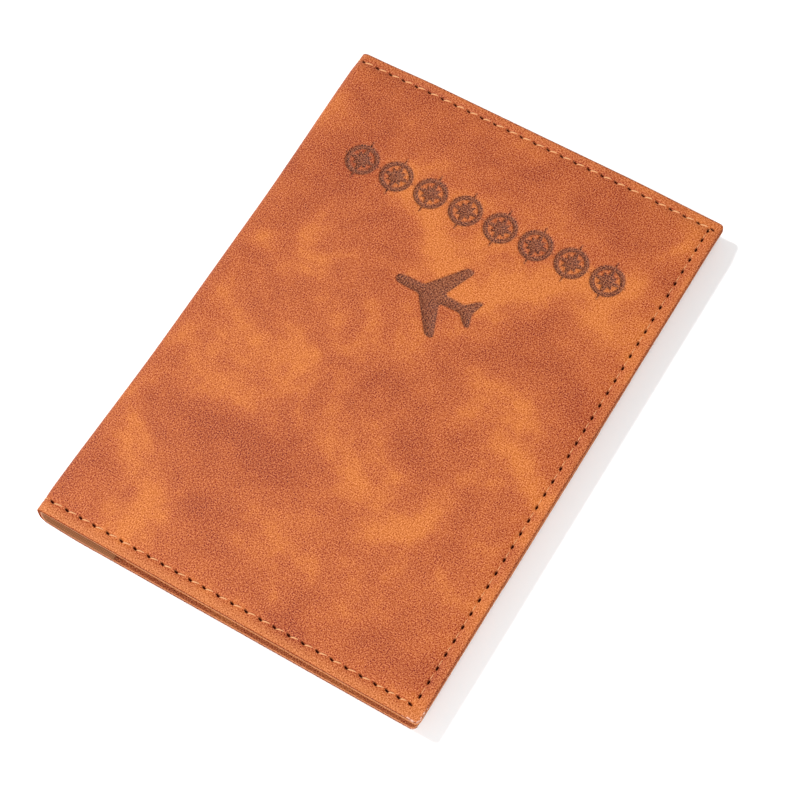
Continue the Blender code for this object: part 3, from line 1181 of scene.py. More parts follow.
@dataclass(frozen=True)
class StitchTree:
    """Geometry Nodes that lay a twisted thread along each chain of a guide mesh."""

    diameter: float
    plies: int = 3
    turns: float = 1.5

    def build(self, name: str, finish: bpy.types.Material) -> bpy.types.NodeTree:
        """Builds the node tree.

        Args:
            name: The tree's name.
            finish: The material of the thread.

        Returns:
            A tree with one geometry output and named inputs for the thread's sizes.
        """
        tree = bpy.data.node_groups.new(name, "GeometryNodeTree")
        face = tree.interface
        face.new_socket("Guide", in_out="INPUT", socket_type="NodeSocketGeometry")
        face.new_socket("Thread", in_out="OUTPUT", socket_type="NodeSocketGeometry")
        for label, kind in (
            ("Thread radius", "NodeSocketFloat"), ("Plies", "NodeSocketInt"),
            ("Twist per stitch", "NodeSocketFloat"),
        ):
            face.new_socket(label, in_out="INPUT", socket_type=kind)
        given = add_node(tree, "NodeGroupInput").outputs
        chains = add_node(tree, "GeometryNodeMeshToCurve", {}, {"Mesh": given["Guide"]}).outputs["Curve"]
        part = add_node(tree, "GeometryNodeSplineParameter").outputs["Factor"]
        twist = add_node(
            tree, "ShaderNodeMath", {}, {0: part, 1: given["Twist per stitch"]}, operation="MULTIPLY"
        ).outputs["Value"]
        chains = add_node(
            tree, "GeometryNodeSetCurveTilt", {}, {"Curve": chains, "Tilt": twist}
        ).outputs["Curve"]
        hollow = add_node(
            tree, "ShaderNodeMath", {1: 0.78}, {0: given["Thread radius"]}, operation="MULTIPLY"
        ).outputs["Value"]
        profile = add_node(
            tree, "GeometryNodeCurveStar", {"Twist": 0.0},
            {"Points": given["Plies"], "Inner Radius": hollow, "Outer Radius": given["Thread radius"]},
        ).outputs["Curve"]
        girth = add_node(
            tree, "GeometryNodeInputNamedAttribute", {"Name": "girth"}, data_type="FLOAT"
        ).outputs["Attribute"]
        tube = add_node(
            tree, "GeometryNodeCurveToMesh", {"Fill Caps": True},
            {"Curve": chains, "Profile Curve": profile, "Scale": girth},
        ).outputs["Mesh"]
        smooth = add_node(
            tree, "GeometryNodeSetShadeSmooth", {"Shade Smooth": True}, {"Geometry": tube}
        ).outputs["Geometry"]
        real = add_node(tree, "GeometryNodeRealizeInstances", {}, {"Geometry": smooth}).outputs["Geometry"]
        dressed = add_node(
            tree, "GeometryNodeSetMaterial", {"Material": finish}, {"Geometry": real}
        ).outputs["Geometry"]
        add_node(tree, "NodeGroupOutput", {}, {"Thread": dressed})
        return tree

    def lay(self, name: str, path: ThreadPath, finish: bpy.types.Material) -> bpy.types.Object:
        """Makes one plain mesh object of thread along a path's stitches.

        Args:
            name: The object's name.
            path: The stitches.
            finish: The thread's material.

        Returns:
            The object, with no modifier on it.
        """
        guide_mesh = bpy.data.meshes.new(f"{name}_guide")
        guide_mesh.from_pydata(np.concatenate(path.points).tolist(), path.edges, [])
        set_attribute(guide_mesh, "girth", np.concatenate(path.girths))
        guide = bpy.data.objects.new(f"{name}_guide", guide_mesh)
        bpy.context.collection.objects.link(guide)
        tree = self.build(f"{name}_stitches", finish)
        modifier = guide.modifiers.new("stitches", "NODES")
        modifier.node_group = tree
        sizes = {
            "Thread radius": self.diameter / 2, "Plies": self.plies, "Twist per stitch": self.turns * math.pi,
        }
        for item in tree.interface.items_tree:
            if item.name in sizes:
                modifier[item.identifier] = sizes[item.name]
        bpy.context.view_layer.update()
        evaluated = guide.evaluated_get(bpy.context.evaluated_depsgraph_get())
        mesh = bpy.data.meshes.new_from_object(evaluated)
        bpy.data.objects.remove(guide, do_unlink=True)
        made = bpy.data.objects.new(name, mesh)
        bpy.context.collection.objects.link(made)
        if not mesh.materials:
            mesh.materials.append(finish)
        return made


@dataclass(frozen=True)
class Marks:
    """The marks in the leather: their depths, and the widths over which they fade."""

    furrow: tuple[float, float] = (0.17 * MM, 0.5 * MM)  # along the seam
    pucker: tuple[float, float] = (0.07 * MM, 1.0 * MM)  # round each slot
    slot_depth: float = 0.62 * MM
    slot_edge: float = 1.12  # where a slot's wall starts, against the slot's oval
    slot_wall: float = 0.5  # the wall's width, against the same
    border: tuple[float, float] = (0.08 * MM, 4.5 * MM)  # inwards from the seam
    press_depth: float = 0.26 * MM
    press_edge: float = 0.06 * MM  # how far the pressed wall starts outside its outline
    press_wall: float = 0.2 * MM
    dish: tuple[float, float] = (0.04 * MM, 0.55 * MM)  # round the pressed ornament


@dataclass(frozen=True)
class Colouring:
    """Where the leather changes colour, painted shade and a painted highlight among it: places, and the
    widths over which it does.
    """

    press_edge: float = 0.02 * MM
    press_fade: float = 0.16 * MM
    # of the painted shade on the ornament's walls
    outline_shade_fade: float = 0.14 * MM
    # where the painted shade of a needle hole starts and fades
    slot_edge: float = 1.2  # against the slot's oval
    slot_fade: float = 0.35
    border_start: float = 0.2 * MM  # inside the seam
    border_fade: float = 2.8 * MM
    side_border: float = 0.5  # the border's strength away from the tail, where it has no painted highlight
    # the tail side, which faces the light: the border gets a painted highlight there and the rim no painted
    # shade
    lit_tail_zone: float = 2.0 * MM
    # of the painted shade along the head and free rims
    rim_shade_fade: float = 0.3 * MM
    worn_fade: float = 0.5 * MM
    faint_wear: float = 0.35
    faint_run: float = 24.0 * MM  # from the free tail corner
    heavy_wear: float = 0.55
    heavy_zone: float = 2.0 * MM
    heavy_fade: float = 6.0 * MM


@dataclass(frozen=True)
class LeatherMesh:
    """Where the leather's mesh has its points."""

    coarse: float = 2.0 * MM
    across_fold: float = 0.36 * MM
    along_fold: float = 1.6 * MM
    rim_rows: tuple[float, ...] = (0.38 * MM, 0.62 * MM, 1.0 * MM)
    seam_rows: tuple[float, ...] = tuple(d * MM for d in (-0.85, -0.5, -0.25, 0.0, 0.25, 0.5, 0.85, 1.4))
    seam_step: float = 0.6 * MM
    press_rows: tuple[float, ...] = tuple(d * MM for d in (0.5, 0.1, -0.07, -0.17))
    slot_rings: tuple[tuple[float, int], ...] = ((1.45, 14), (1.08, 12), (0.66, 8))  # sizes and points
    slot_floor: tuple[float, int] = (0.25, 4)
    off_slot: float = 1.75  # other points keep off the slots by this much of their oval
    off_rim: float = 0.12 * MM
    off_middle: float = 0.1 * MM
    off_press: float = 0.7 * MM
    inner_step: float = 5.0 * MM
    inner_rim: float = 0.15 * MM


@dataclass
class CoverSide:
    """One half of the holder: its leather, lining, pockets and thread.

    Depths are counted inwards from the leather's outer face.
    """

    section: Section
    seam: Seam
    palette: dict[str, bpy.types.Material]
    motif: Optional[Motif]
    lining_rest: float  # depth of the lining's outer side over the board
    lining_thickness: float
    sleeve_start: float
    sleeve_thickness: float
    pinched: float = 1.02 * MM  # the same at the seam, where the lining meets the leather
    fold_depth: float = 1.2 * MM
    gap: float = 0.02 * MM
    loose_gap: float = 0.08 * MM
    leather_rim: float = 0.17 * MM
    spine_point: tuple[float, float] = (0.5 * MM, 2.0 * MM)  # in from the spine's face and the panel's
    panel_point: tuple[float, float] = (2.0 * MM, 0.5 * MM)  # the same, for a point of the panel
    marks: Marks = Marks()
    colouring: Colouring = Colouring()
    mesh: LeatherMesh = LeatherMesh()
    thread_radius: float = 0.2 * MM
    bobbin_girth: float = 0.75  # of the inner thread, against the outer one
    dive: float = 0.45 * MM  # how much deeper a stitch starts than its middle lies
    tuck: float = 0.4 * MM  # how far its far end is drawn under the leather
    pinch_rows: tuple[float, ...] = (2.4 * MM, 3.2 * MM, 3.9 * MM, 4.6 * MM)  # where sheets rise off the seam
    crease_inset: float = 1.8 * MM  # from a pocket's mouth to the creased line beside it
    crease_half_width: float = 0.28 * MM
    crease_rows: tuple[float, ...] = tuple(d * MM for d in (0.6, 1.2, 1.5, 1.8, 2.1, 2.4))  # from the mouth
    shown: float = 0.55  # share of a stitch that lies clear of the leather

    @property
    def label(self) -> str:
        """The panel's name, as in its pieces' names."""
        return self.section.side.value

    def join(self, piece: bpy.types.Object) -> None:
        """Bakes the placement of a piece that crosses the fold into its mesh.

        Args:
            piece: The piece.
        """
        section = self.section
        if section.side is Side.BACK:
            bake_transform(piece)
        else:
            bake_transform(piece)

    def panel(self, step: float) -> Outline:
        """The outline of the panel and its half of the spine.

        Args:
            step: The distance between points along it.

        Returns:
            The outline.
        """
        section = self.section
        return panel_outline(
            0.0, section.reach, section.tail_y, section.head_y, section.corner_radius, step, True
        )

    def flat_grid(self, step: float) -> Array:
        """A plain grid of plan points over the panel's flat."""
        section = self.section
        return plan_grid(section.flat_start, section.reach, section.tail_y, section.head_y, step)

    # The outer leather

    def relief(self, u: Array, y: Array) -> Array:
        """Depth of the leather's outer face under its plain form: furrow, slots and ornament.

        Args:
            u: Plan lengths from the spine's middle.
            y: Places between tail and head.

        Returns:
            The depths.
        """
        marks = self.marks
        inside = self.seam.inside(u, y)
        oval, near = self.seam.slot_measure(u, y)
        depth = marks.furrow[0] * hump(inside, marks.furrow[1])
        depth = depth + marks.pucker[0] * hump(near, marks.pucker[1])
        depth = depth + marks.slot_depth * ease((marks.slot_edge - oval) / marks.slot_wall)
        depth = depth + marks.border[0] * (1.0 - ease(inside / marks.border[1]))
        if self.motif:
            gap = self.motif.distance(u, y)
            depth = depth + marks.press_depth * ease((marks.press_edge - gap) / marks.press_wall)
            depth = depth + marks.dish[0] * hump(np.maximum(gap, 0.0), marks.dish[1])
        return depth

    def leather_points(self) -> Array:
        """Free plan points of the outer face, dense where its relief needs them."""
        section, seam = self.section, self.seam
        outline = self.panel(1.0 * MM)
        mesh = self.mesh
        sets = [self.flat_grid(mesh.coarse)]
        fold_u = spaced(0.0, section.flat_start, mesh.across_fold)[1:]
        sets.append(pairs(fold_u, spaced(section.tail_y, section.head_y, mesh.along_fold)[1:]))
        sets.extend(outline.inset(d) for d in mesh.rim_rows)
        sets.extend(self.seam_row(offset) for offset in mesh.seam_rows)
        if self.motif:
            sets.append(np.concatenate([self.motif.offset_points(d) for d in mesh.press_rows]))
        points = np.concatenate(sets)
        oval, _ = seam.slot_measure(points[:, 0], points[:, 1])
        rim = section.rim_distance(points[:, 0], points[:, 1])
        keep = (oval > mesh.off_slot) & (rim > self.leather_rim + mesh.off_rim)
        keep &= points[:, 0] > mesh.off_middle
        if self.motif:
            gap = self.motif.distance(points[:, 0], points[:, 1])
            plain = np.arange(len(points)) < len(sets[0])
            keep &= ~(plain & (np.abs(gap) < mesh.off_press))
        return points[keep]

    def seam_row(self, offset: float) -> Array:
        """Closely spaced plan points along the seam.

        Args:
            offset: How far towards the panel they lie.

        Returns:
            The points.
        """
        seam = self.seam
        tail, head, free = seam.tail + offset, seam.head - offset, seam.free - offset
        along = spaced(0.0, free, self.mesh.seam_step)
        up = spaced(tail, head, self.mesh.seam_step)
        rows = (
            np.stack([along, np.full_like(along, tail)], axis=-1),
            np.stack([np.full_like(up, free), up], axis=-1),
            np.stack([along, np.full_like(along, head)], axis=-1),
            np.array([[free, head]]),
        )
        return np.concatenate(rows)

    def make_leather(self) -> bpy.types.Object:
        """The outer leather of the panel and its half of the spine."""
        section, seam = self.section, self.seam
        outline = self.panel(1.0 * MM)
        mesh = self.mesh
        loops = [seam.slot_ring(slot, *ring) for slot in seam.slots() for ring in mesh.slot_rings]
        if self.motif:
            loops.extend(self.motif.edges())
        centres = np.concatenate([seam.slot_ring(slot, *mesh.slot_floor) for slot in seam.slots()])
        inner = np.concatenate([self.flat_grid(mesh.inner_step), self.fold_points(mesh.inner_step)])
        sheet = SheetMesh(
            name=f"leather_{self.label}", section=section, outline=outline, outer_depth=self.relief,
            inner_depth=lambda u, y: np.full(len(u), section.leather), outer_rim=self.leather_rim,
            inner_rim=mesh.inner_rim, outer_points=np.concatenate([self.leather_points(), centres]),
            inner_points=inner, outer_loops=loops,
        )
        piece = sheet.build()
        self.paint_masks(piece, sheet)
        piece.data.materials.append(self.palette["cover"])
        self.join(piece)
        return piece

    def paint_masks(self, piece: bpy.types.Object, sheet: SheetMesh) -> None:
        """Stores where the leather is pressed, pierced, worn and outside the seam, and where painted shade
        and a painted highlight go.

        Args:
            piece: The leather.
            sheet: The sheet that it was built from.
        """
        tint = self.colouring
        plan, edge = sheet.all_plan()
        u, y = plan[:, 0], plan[:, 1]
        section = self.section
        oval, _ = self.seam.slot_measure(u, y)
        inside = self.seam.inside(u, y)
        rim = section.rim_distance(u, y)
        from_tail = y - section.tail_y
        face = edge < 0.5
        pressed, painted_shade = np.zeros(len(u)), np.zeros(len(u))
        if self.motif:
            gap = self.motif.distance(u, y)
            pressed = ease((tint.press_edge - gap) / tint.press_fade)
            # painted shade: a dark line on the walls of the pressed ornament
            painted_shade = hump(gap + tint.press_edge, tint.outline_shade_fade)
        lit_tail_share = ease(1.0 - (from_tail - tint.lit_tail_zone) / tint.lit_tail_zone)
        past_rim = rim - self.leather_rim
        to_corner = np.hypot(section.reach - u, from_tail)
        faint = tint.faint_wear * ease(1.0 - to_corner / tint.faint_run)
        heavy = tint.heavy_wear * ease(1.0 - (to_corner - tint.heavy_zone) / tint.heavy_fade)
        border = ease((tint.border_start - inside) / tint.border_fade)
        masks = {
            "pressed": pressed * face,
            "painted_shade": painted_shade * face,
            # painted shade: the dark inside the needle holes
            "slot": ease((tint.slot_edge - oval) / tint.slot_fade) * face,
            # paler nap outside the seam, strongest along the tail, where it is a painted highlight on the
            # side that faces the light
            "border": border * face * blend_between(tint.side_border, 1.0, lit_tail_share),
            # painted shade: a dark line along the head and free rims, which face away from the light
            "rim": ease(1.0 - past_rim / tint.rim_shade_fade) * face * (1.0 - lit_tail_share),
            "worn": (faint + heavy) * ease(1.0 - past_rim / tint.worn_fade),
        }
        for name, values in masks.items():
            set_attribute(piece.data, name, values)

    def fold_points(self, step: float) -> Array:
        """Plan points in close rows round the fold, for a sheet's coarse side."""
        rows = spaced(0.0, self.section.flat_start, 0.5 * MM)[1:]
        return pairs(rows, spaced(self.section.tail_y, self.section.head_y, step)[1:])

    # The lining and the pockets

    def spread(self, u: Array, y: Array) -> Array:
        """0 at the seam, where the sheets are drawn together, and 1 over the board."""
        return ease((self.section.rim_distance(u, y) - 2.9 * MM) / (1.6 * MM))

    def lining_outer(self, u: Array, y: Array) -> Array:
        """Depth of the lining's outer side.

        Args:
            u: Plan lengths from the spine's middle.
            y: Places between tail and head.

        Returns:
            The depths.
        """
        start = self.section.flat_start
        over_board = ease((u - start + 0.9 * MM) / (2.0 * MM))
        plain = blend_between(self.fold_depth, self.lining_rest, over_board)
        return blend_between(self.pinched, plain, self.spread(u, y))

    def lining_inner(self, u: Array, y: Array) -> Array:
        """Depth of the lining's inner side."""
        return self.lining_outer(u, y) + self.lining_thickness

    def make_lining(self) -> bpy.types.Object:
        """The woven lining of the panel and its half of the spine."""
        section = self.section
        outline = self.panel(1.5 * MM)
        points = np.concatenate([
            self.fold_points(2.5 * MM),
            self.flat_grid(3.0 * MM),
            *(outline.inset(d) for d in self.pinch_rows),
        ])
        points = points[(points[:, 0] > 0.1 * MM) & (section.rim_distance(*points.T) > 0.5 * MM)]
        piece = SheetMesh(
            name=f"lining_sheet_{self.label}", section=section, outline=outline,
            outer_depth=self.lining_outer, inner_depth=self.lining_inner, outer_rim=0.05 * MM,
            inner_rim=0.08 * MM, outer_points=points, inner_points=points, rim_steps=2,
        ).build()
        piece.data.materials.append(self.palette["lining"])
        self.join(piece)
        return piece

    def sleeve_outer(self, u: Array, y: Array) -> Array:
        """Depth of the big pocket's outer side. Its mouth stands a little off the lining.

        Args:
            u: Plan lengths from the spine's middle.
            y: Places between tail and head.

        Returns:
            The depths.
        """
        into = u - self.section.run_to(self.section.spine_x + self.sleeve_start)
        spread = self.spread(u, y)
        mouth = 0.12 * MM * np.exp(-np.maximum(into, 0.0) / (7.0 * MM))
        return self.lining_inner(u, y) + self.gap + (self.loose_gap + mouth) * spread

    def sleeve_inner(self, u: Array, y: Array) -> Array:
        """Depth of the big pocket's inner side, with the creased line beside its mouth.

        Args:
            u: Plan lengths from the spine's middle.
            y: Places between tail and head.

        Returns:
            The depths.
        """
        into = u - self.section.run_to(self.section.spine_x + self.sleeve_start)
        crease = 0.09 * MM * hump(into - self.crease_inset, self.crease_half_width)
        return self.sleeve_outer(u, y) + self.sleeve_thickness - crease

    def top(self, u: Array, y: Array) -> Array:
        """Depth of the innermost sheet's inner side at a place of the panel.

        Args:
            u: Plan lengths from the spine's middle.
            y: Places between tail and head.

        Returns:
            The depths.
        """
        start = self.section.run_to(self.section.spine_x + self.sleeve_start)
        return np.where(u > start, self.sleeve_inner(u, y), self.lining_inner(u, y))

    def make_pocket(
        self, name: str, node: str, bounds: tuple[float, float, float, float], radius: float,
        outer: DepthRule, inner: DepthRule, rows: Array, from_mouth: DepthRule,
    ) -> bpy.types.Object:
        """A leather pocket sewn on to the panel.

        Args:
            name: The piece's name.
            node: The CAD node that it stands for.
            bounds: Its start, its end, its edge nearer the tail and its edge nearer the head.
            radius: Radius of its corners at the free edge.
            outer: Depth of its outer side.
            inner: Depth of its inner side.
            rows: Further plan points, close to its creased lines.
            from_mouth: Distance inwards from its open edge.

        Returns:
            The pocket.
        """
        section = self.section
        u0, u1, y0, y1 = bounds
        outline = panel_outline(u0, u1, y0, y1, radius, 1.5 * MM, False)
        rim = self.panel(1.5 * MM)
        points = np.concatenate([
            plan_grid(u0, u1, y0, y1, 3.0 * MM), rows, *(rim.inset(d) for d in self.pinch_rows)
        ])
        clear = 0.5 * MM
        keep = (points[:, 0] > u0 + clear) & (points[:, 0] < u1 - clear)
        keep &= (points[:, 1] > y0 + clear) & (points[:, 1] < y1 - clear)
        keep &= section.rim_distance(*points.T) > clear
        sheet = SheetMesh(
            name=name, section=section, outline=outline, outer_depth=outer, inner_depth=inner,
            outer_rim=0.06 * MM, inner_rim=0.1 * MM, outer_points=points[keep], inner_points=points[keep],
            rim_steps=2,
        )
        piece = sheet.build()
        plan, _ = sheet.all_plan()
        inwards = from_mouth(*plan.T)
        # Painted shade: a dark line along the creased line below the mouth, and a darker rim at the mouth
        # itself.
        set_attribute(piece.data, "painted_shade", hump(inwards - self.crease_inset, self.crease_half_width))
        set_attribute(piece.data, "rim", ease(1.0 - inwards / (0.7 * MM)))
        piece.data.materials.append(self.palette["pocket"])
        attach(piece, self.label)
        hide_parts(node)
        return piece

    def make_sleeve(self, name: str, node: str) -> bpy.types.Object:
        """The full-height pocket that is open towards the spine.

        Args:
            name: The piece's name.
            node: The node that it stands for.

        Returns:
            The pocket.
        """
        section = self.section
        start = section.run_to(section.spine_x + self.sleeve_start)
        bounds = (start, section.reach, section.tail_y, section.head_y)
        rows = pairs(
            [start + offset for offset in self.crease_rows],
            spaced(section.tail_y, section.head_y, 2.0 * MM)[1:],
        )
        return self.make_pocket(
            name, node, bounds, section.corner_radius, self.sleeve_outer, self.sleeve_inner, rows,
            lambda u, y: u - start,
        )

    # The seam's threads

    def stitch_between(self, path: ThreadPath, one: Array, two: Array, run: SeamRun) -> None:
        """Adds an outer stitch that rises from one slot, lies on the leather and goes down the next.

        Args:
            path: The path that it joins.
            one: Where it comes up on the plan.
            two: Where it goes down.
            run: The run that it belongs to.
        """
        share = np.linspace(0.0, 1.0, 13)
        way = two - one
        side = np.array([-way[1], way[0]]) / np.linalg.norm(way) * self.section.side.up
        bow = run.bow * np.sin(math.pi * share**0.8)
        plan = one + way * share[:, None] + side * bow[:, None]
        rise = (1.0 - ease(share / 0.12)) * self.dive
        fall = ease((share - self.shown) / 0.3) * self.tuck
        girth = run.girth * (1.15 - 0.55 * share)
        level = self.thread_radius * girth + run.sunk + rise + fall
        path.add(self.section.place(plan[:, 0], plan[:, 1], level), girth)

    def outer_thread(self) -> ThreadPath:
        """The needle thread seen on the outside of the panel, with the stitches at its corners."""
        path = ThreadPath()
        reach = self.seam.slot_half_length * 0.9
        runs = self.seam.runs()
        for run in runs:
            for slot, after in zip(run.slots, run.slots[1:]):
                self.stitch_between(path, slot.ends(reach)[1], after.ends(reach)[0], run)
        tail, free, head = (run.slots for run in runs)
        for one, two in ((tail[-1], free[0]), (free[-1], head[-1])):
            start, end = np.array([one.u, one.y]), np.array([two.u, two.y])
            clear = (end - start) * 0.22
            self.stitch_between(path, start + clear, end - clear, runs[1])
        return path

    def inner_thread(self, top: DepthRule) -> ThreadPath:
        """The bobbin thread seen on the inside of the panel.

        Args:
            top: The depth of the sheet that it lies on.

        Returns:
            The thread's path.
        """
        path = ThreadPath()
        for run in self.seam.runs():
            for slot, after in zip(run.slots, run.slots[1:]):
                share = np.linspace(0.06, 0.94, 9)[:, None]
                one, two = np.array([slot.u, slot.y]), np.array([after.u, after.y])
                plan = one + (two - one) * share
                u, y = plan[:, 0], plan[:, 1]
                dive = np.abs(2.0 * share[:, 0] - 1.0) ** 5 * 0.5 * MM
                path.add(self.section.place(u, y, top(u, y) + 0.02 * MM - dive), self.bobbin_girth)
        return path

    def make_threads(
        self, stitches: StitchTree, crossings: tuple[ThreadPath, ThreadPath], top: DepthRule
    ) -> list[bpy.types.Object]:
        """Both threads of the panel's seam, as two pieces.

        Args:
            stitches: The maker of the threads.
            crossings: Further stitches of the needle thread and of the bobbin thread.
            top: Depth of the innermost sheet's inner side.

        Returns:
            The needle thread and the bobbin thread.
        """
        paths = (self.outer_thread(), self.inner_thread(top))
        for path, crossing in zip(paths, crossings):
            for places, girth in zip(crossing.points, crossing.girths):
                path.add(places, girth)
        pieces = []
        for kind, path in zip(("needle", "bobbin"), paths):
            piece = stitches.lay(f"{kind}_stitches_{self.label}", path, self.palette["thread"])
            self.join(piece)
            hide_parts(f"{self.label}_{kind}_thread")
            pieces.append(piece)
        return pieces


@dataclass
class FrontSide(CoverSide):
    """The front half, which also holds two stepped card pockets."""

    card_start: float = 24.0 * MM
    card_thickness: float = 0.35 * MM
    upper_floor: float = 38.0 * MM
    upper_mouth: float = 96.0 * MM
    lower_mouth: float = 82.0 * MM
    card_seam: float = 1.5 * MM

    def card_spread(self, u: Array, y: Array) -> Array:
        """0 where a card pocket is sewn down and 1 where it stands off the sheet beneath."""
        start = self.section.run_to(self.section.spine_x + self.card_start)
        return self.spread(u, y) * ease((u - start - self.card_seam - 0.4 * MM) / (2.5 * MM))

    def mouth_lift(self, u: Array, y: Array, mouth: float) -> Array:
        """How far a card pocket's mouth gapes near its middle."""
        below = self.section.tail_y + mouth - y
        return 0.16 * MM * np.exp(-np.maximum(below, 0.0) / (5.0 * MM)) * self.card_spread(u, y)

    def mouth_crease(self, y: Array, mouth: float) -> Array:
        """Depth of the creased line below a card pocket's mouth."""
        below = self.section.tail_y + mouth - y
        return 0.12 * MM * hump(below - self.crease_inset, self.crease_half_width)

    def upper_outer(self, u: Array, y: Array) -> Array:
        """Depth of the upper card pocket's outer side."""
        lift = self.mouth_lift(u, y, self.upper_mouth)
        return self.sleeve_inner(u, y) + self.gap + self.loose_gap * self.card_spread(u, y) + lift

    def upper_inner(self, u: Array, y: Array) -> Array:
        """Depth of the upper card pocket's inner side."""
        return self.upper_outer(u, y) + self.card_thickness - self.mouth_crease(y, self.upper_mouth)

    def lower_outer(self, u: Array, y: Array) -> Array:
        """Depth of the lower card pocket's outer side, which steps over the upper one's floor.

        Args:
            u: Plan lengths from the spine's middle.
            y: Places between tail and head.

        Returns:
            The depths.
        """
        from_floor = y - self.section.tail_y - self.upper_floor
        over_upper = ease((from_floor + 1.6 * MM) / (1.5 * MM))
        step = (self.card_thickness + self.gap + self.loose_gap) * over_upper
        upper_lift = self.mouth_lift(u, y, self.upper_mouth) * over_upper
        lift = self.mouth_lift(u, y, self.lower_mouth)
        near = self.gap + self.loose_gap * self.card_spread(u, y)
        return self.sleeve_inner(u, y) + near + step + upper_lift + lift

    def lower_inner(self, u: Array, y: Array) -> Array:
        """Depth of the lower card pocket's inner side."""
        return self.lower_outer(u, y) + self.card_thickness - self.mouth_crease(y, self.lower_mouth)

    def top(self, u: Array, y: Array) -> Array:
        """Depth of the innermost sheet's inner side at a place of the panel.

        Args:
            u: Plan lengths from the spine's middle.
            y: Places between tail and head.

        Returns:
            The depths.
        """
        start = self.section.run_to(self.section.spine_x + self.card_start)
        from_tail = y - self.section.tail_y
        plain = super().top(u, y)
        upper = (u > start) & (from_tail > self.upper_floor) & (from_tail < self.upper_mouth)
        plain = np.where(upper, self.upper_inner(u, y), plain)
        return np.where((u > start) & (from_tail < self.lower_mouth), self.lower_inner(u, y), plain)

    def make_card_pockets(self) -> list[bpy.types.Object]:
        """The two card pockets."""
        section = self.section
        start = section.run_to(section.spine_x + self.card_start)
        pieces = []
        for name, node, floor, mouth, radius, outer, inner in (
            ("card_pocket_sheet_upper", "card_pocket_upper", self.upper_floor, self.upper_mouth, 0.5 * MM,
             self.upper_outer, self.upper_inner),
            ("card_pocket_sheet_lower", "card_pocket_lower", 0.0, self.lower_mouth, section.corner_radius,
             self.lower_outer, self.lower_inner),
        ):
            bounds = (start, section.reach, section.tail_y + floor, section.tail_y + mouth)
            us = spaced(start, section.reach, 2.0 * MM)[1:]
            lines = [section.tail_y + mouth - offset for offset in self.crease_rows]
            lines += [section.tail_y + self.upper_floor + offset * MM for offset in (-2.0, -1.5, -0.8, 0.0)]
            ys = spaced(bounds[2], bounds[3], 2.0 * MM)[1:]
            seam_lines = [start + offset * MM for offset in (1.1, 1.9, 2.6, 3.4, 4.3)]
            rows = np.concatenate([pairs(lines, us)[:, ::-1], pairs(seam_lines, ys)])
            pieces.append(self.make_pocket(
                name, node, bounds, radius, outer, inner, rows, lambda u, y, edge=bounds[3]: edge - y
            ))
        return pieces

    def make_pocket_stitches(self, stitches: StitchTree) -> bpy.types.Object:
        """The row of stitches that closes the card pockets beside the spine.

        Args:
            stitches: The tree that gives a path its twisted plies.

        Returns:
            The row.
        """
        section = self.section
        u = section.run_to(section.spine_x + self.card_start + self.card_seam)
        path = ThreadPath()
        start, end = section.tail_y + 3.3 * MM, section.tail_y + self.upper_mouth - 0.9 * MM
        row = np.linspace(start, end, int(round((end - start) / self.seam.pitch)) + 1)
        for one, two in zip(row, row[1:]):
            share = np.linspace(0.1, 0.9, 9)
            y = one + (two - one) * share
            us = np.full_like(y, u)
            dive = np.abs(2.0 * share - 1.0) ** 4 * 0.5 * MM
            path.add(section.place(us, y, self.top(us, y) + 0.04 * MM - dive), self.bobbin_girth)
        piece = stitches.lay("card_pocket_stitches", path, self.palette["thread"])
        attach(piece, self.label)
        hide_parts("card_pocket_thread")
        return piece


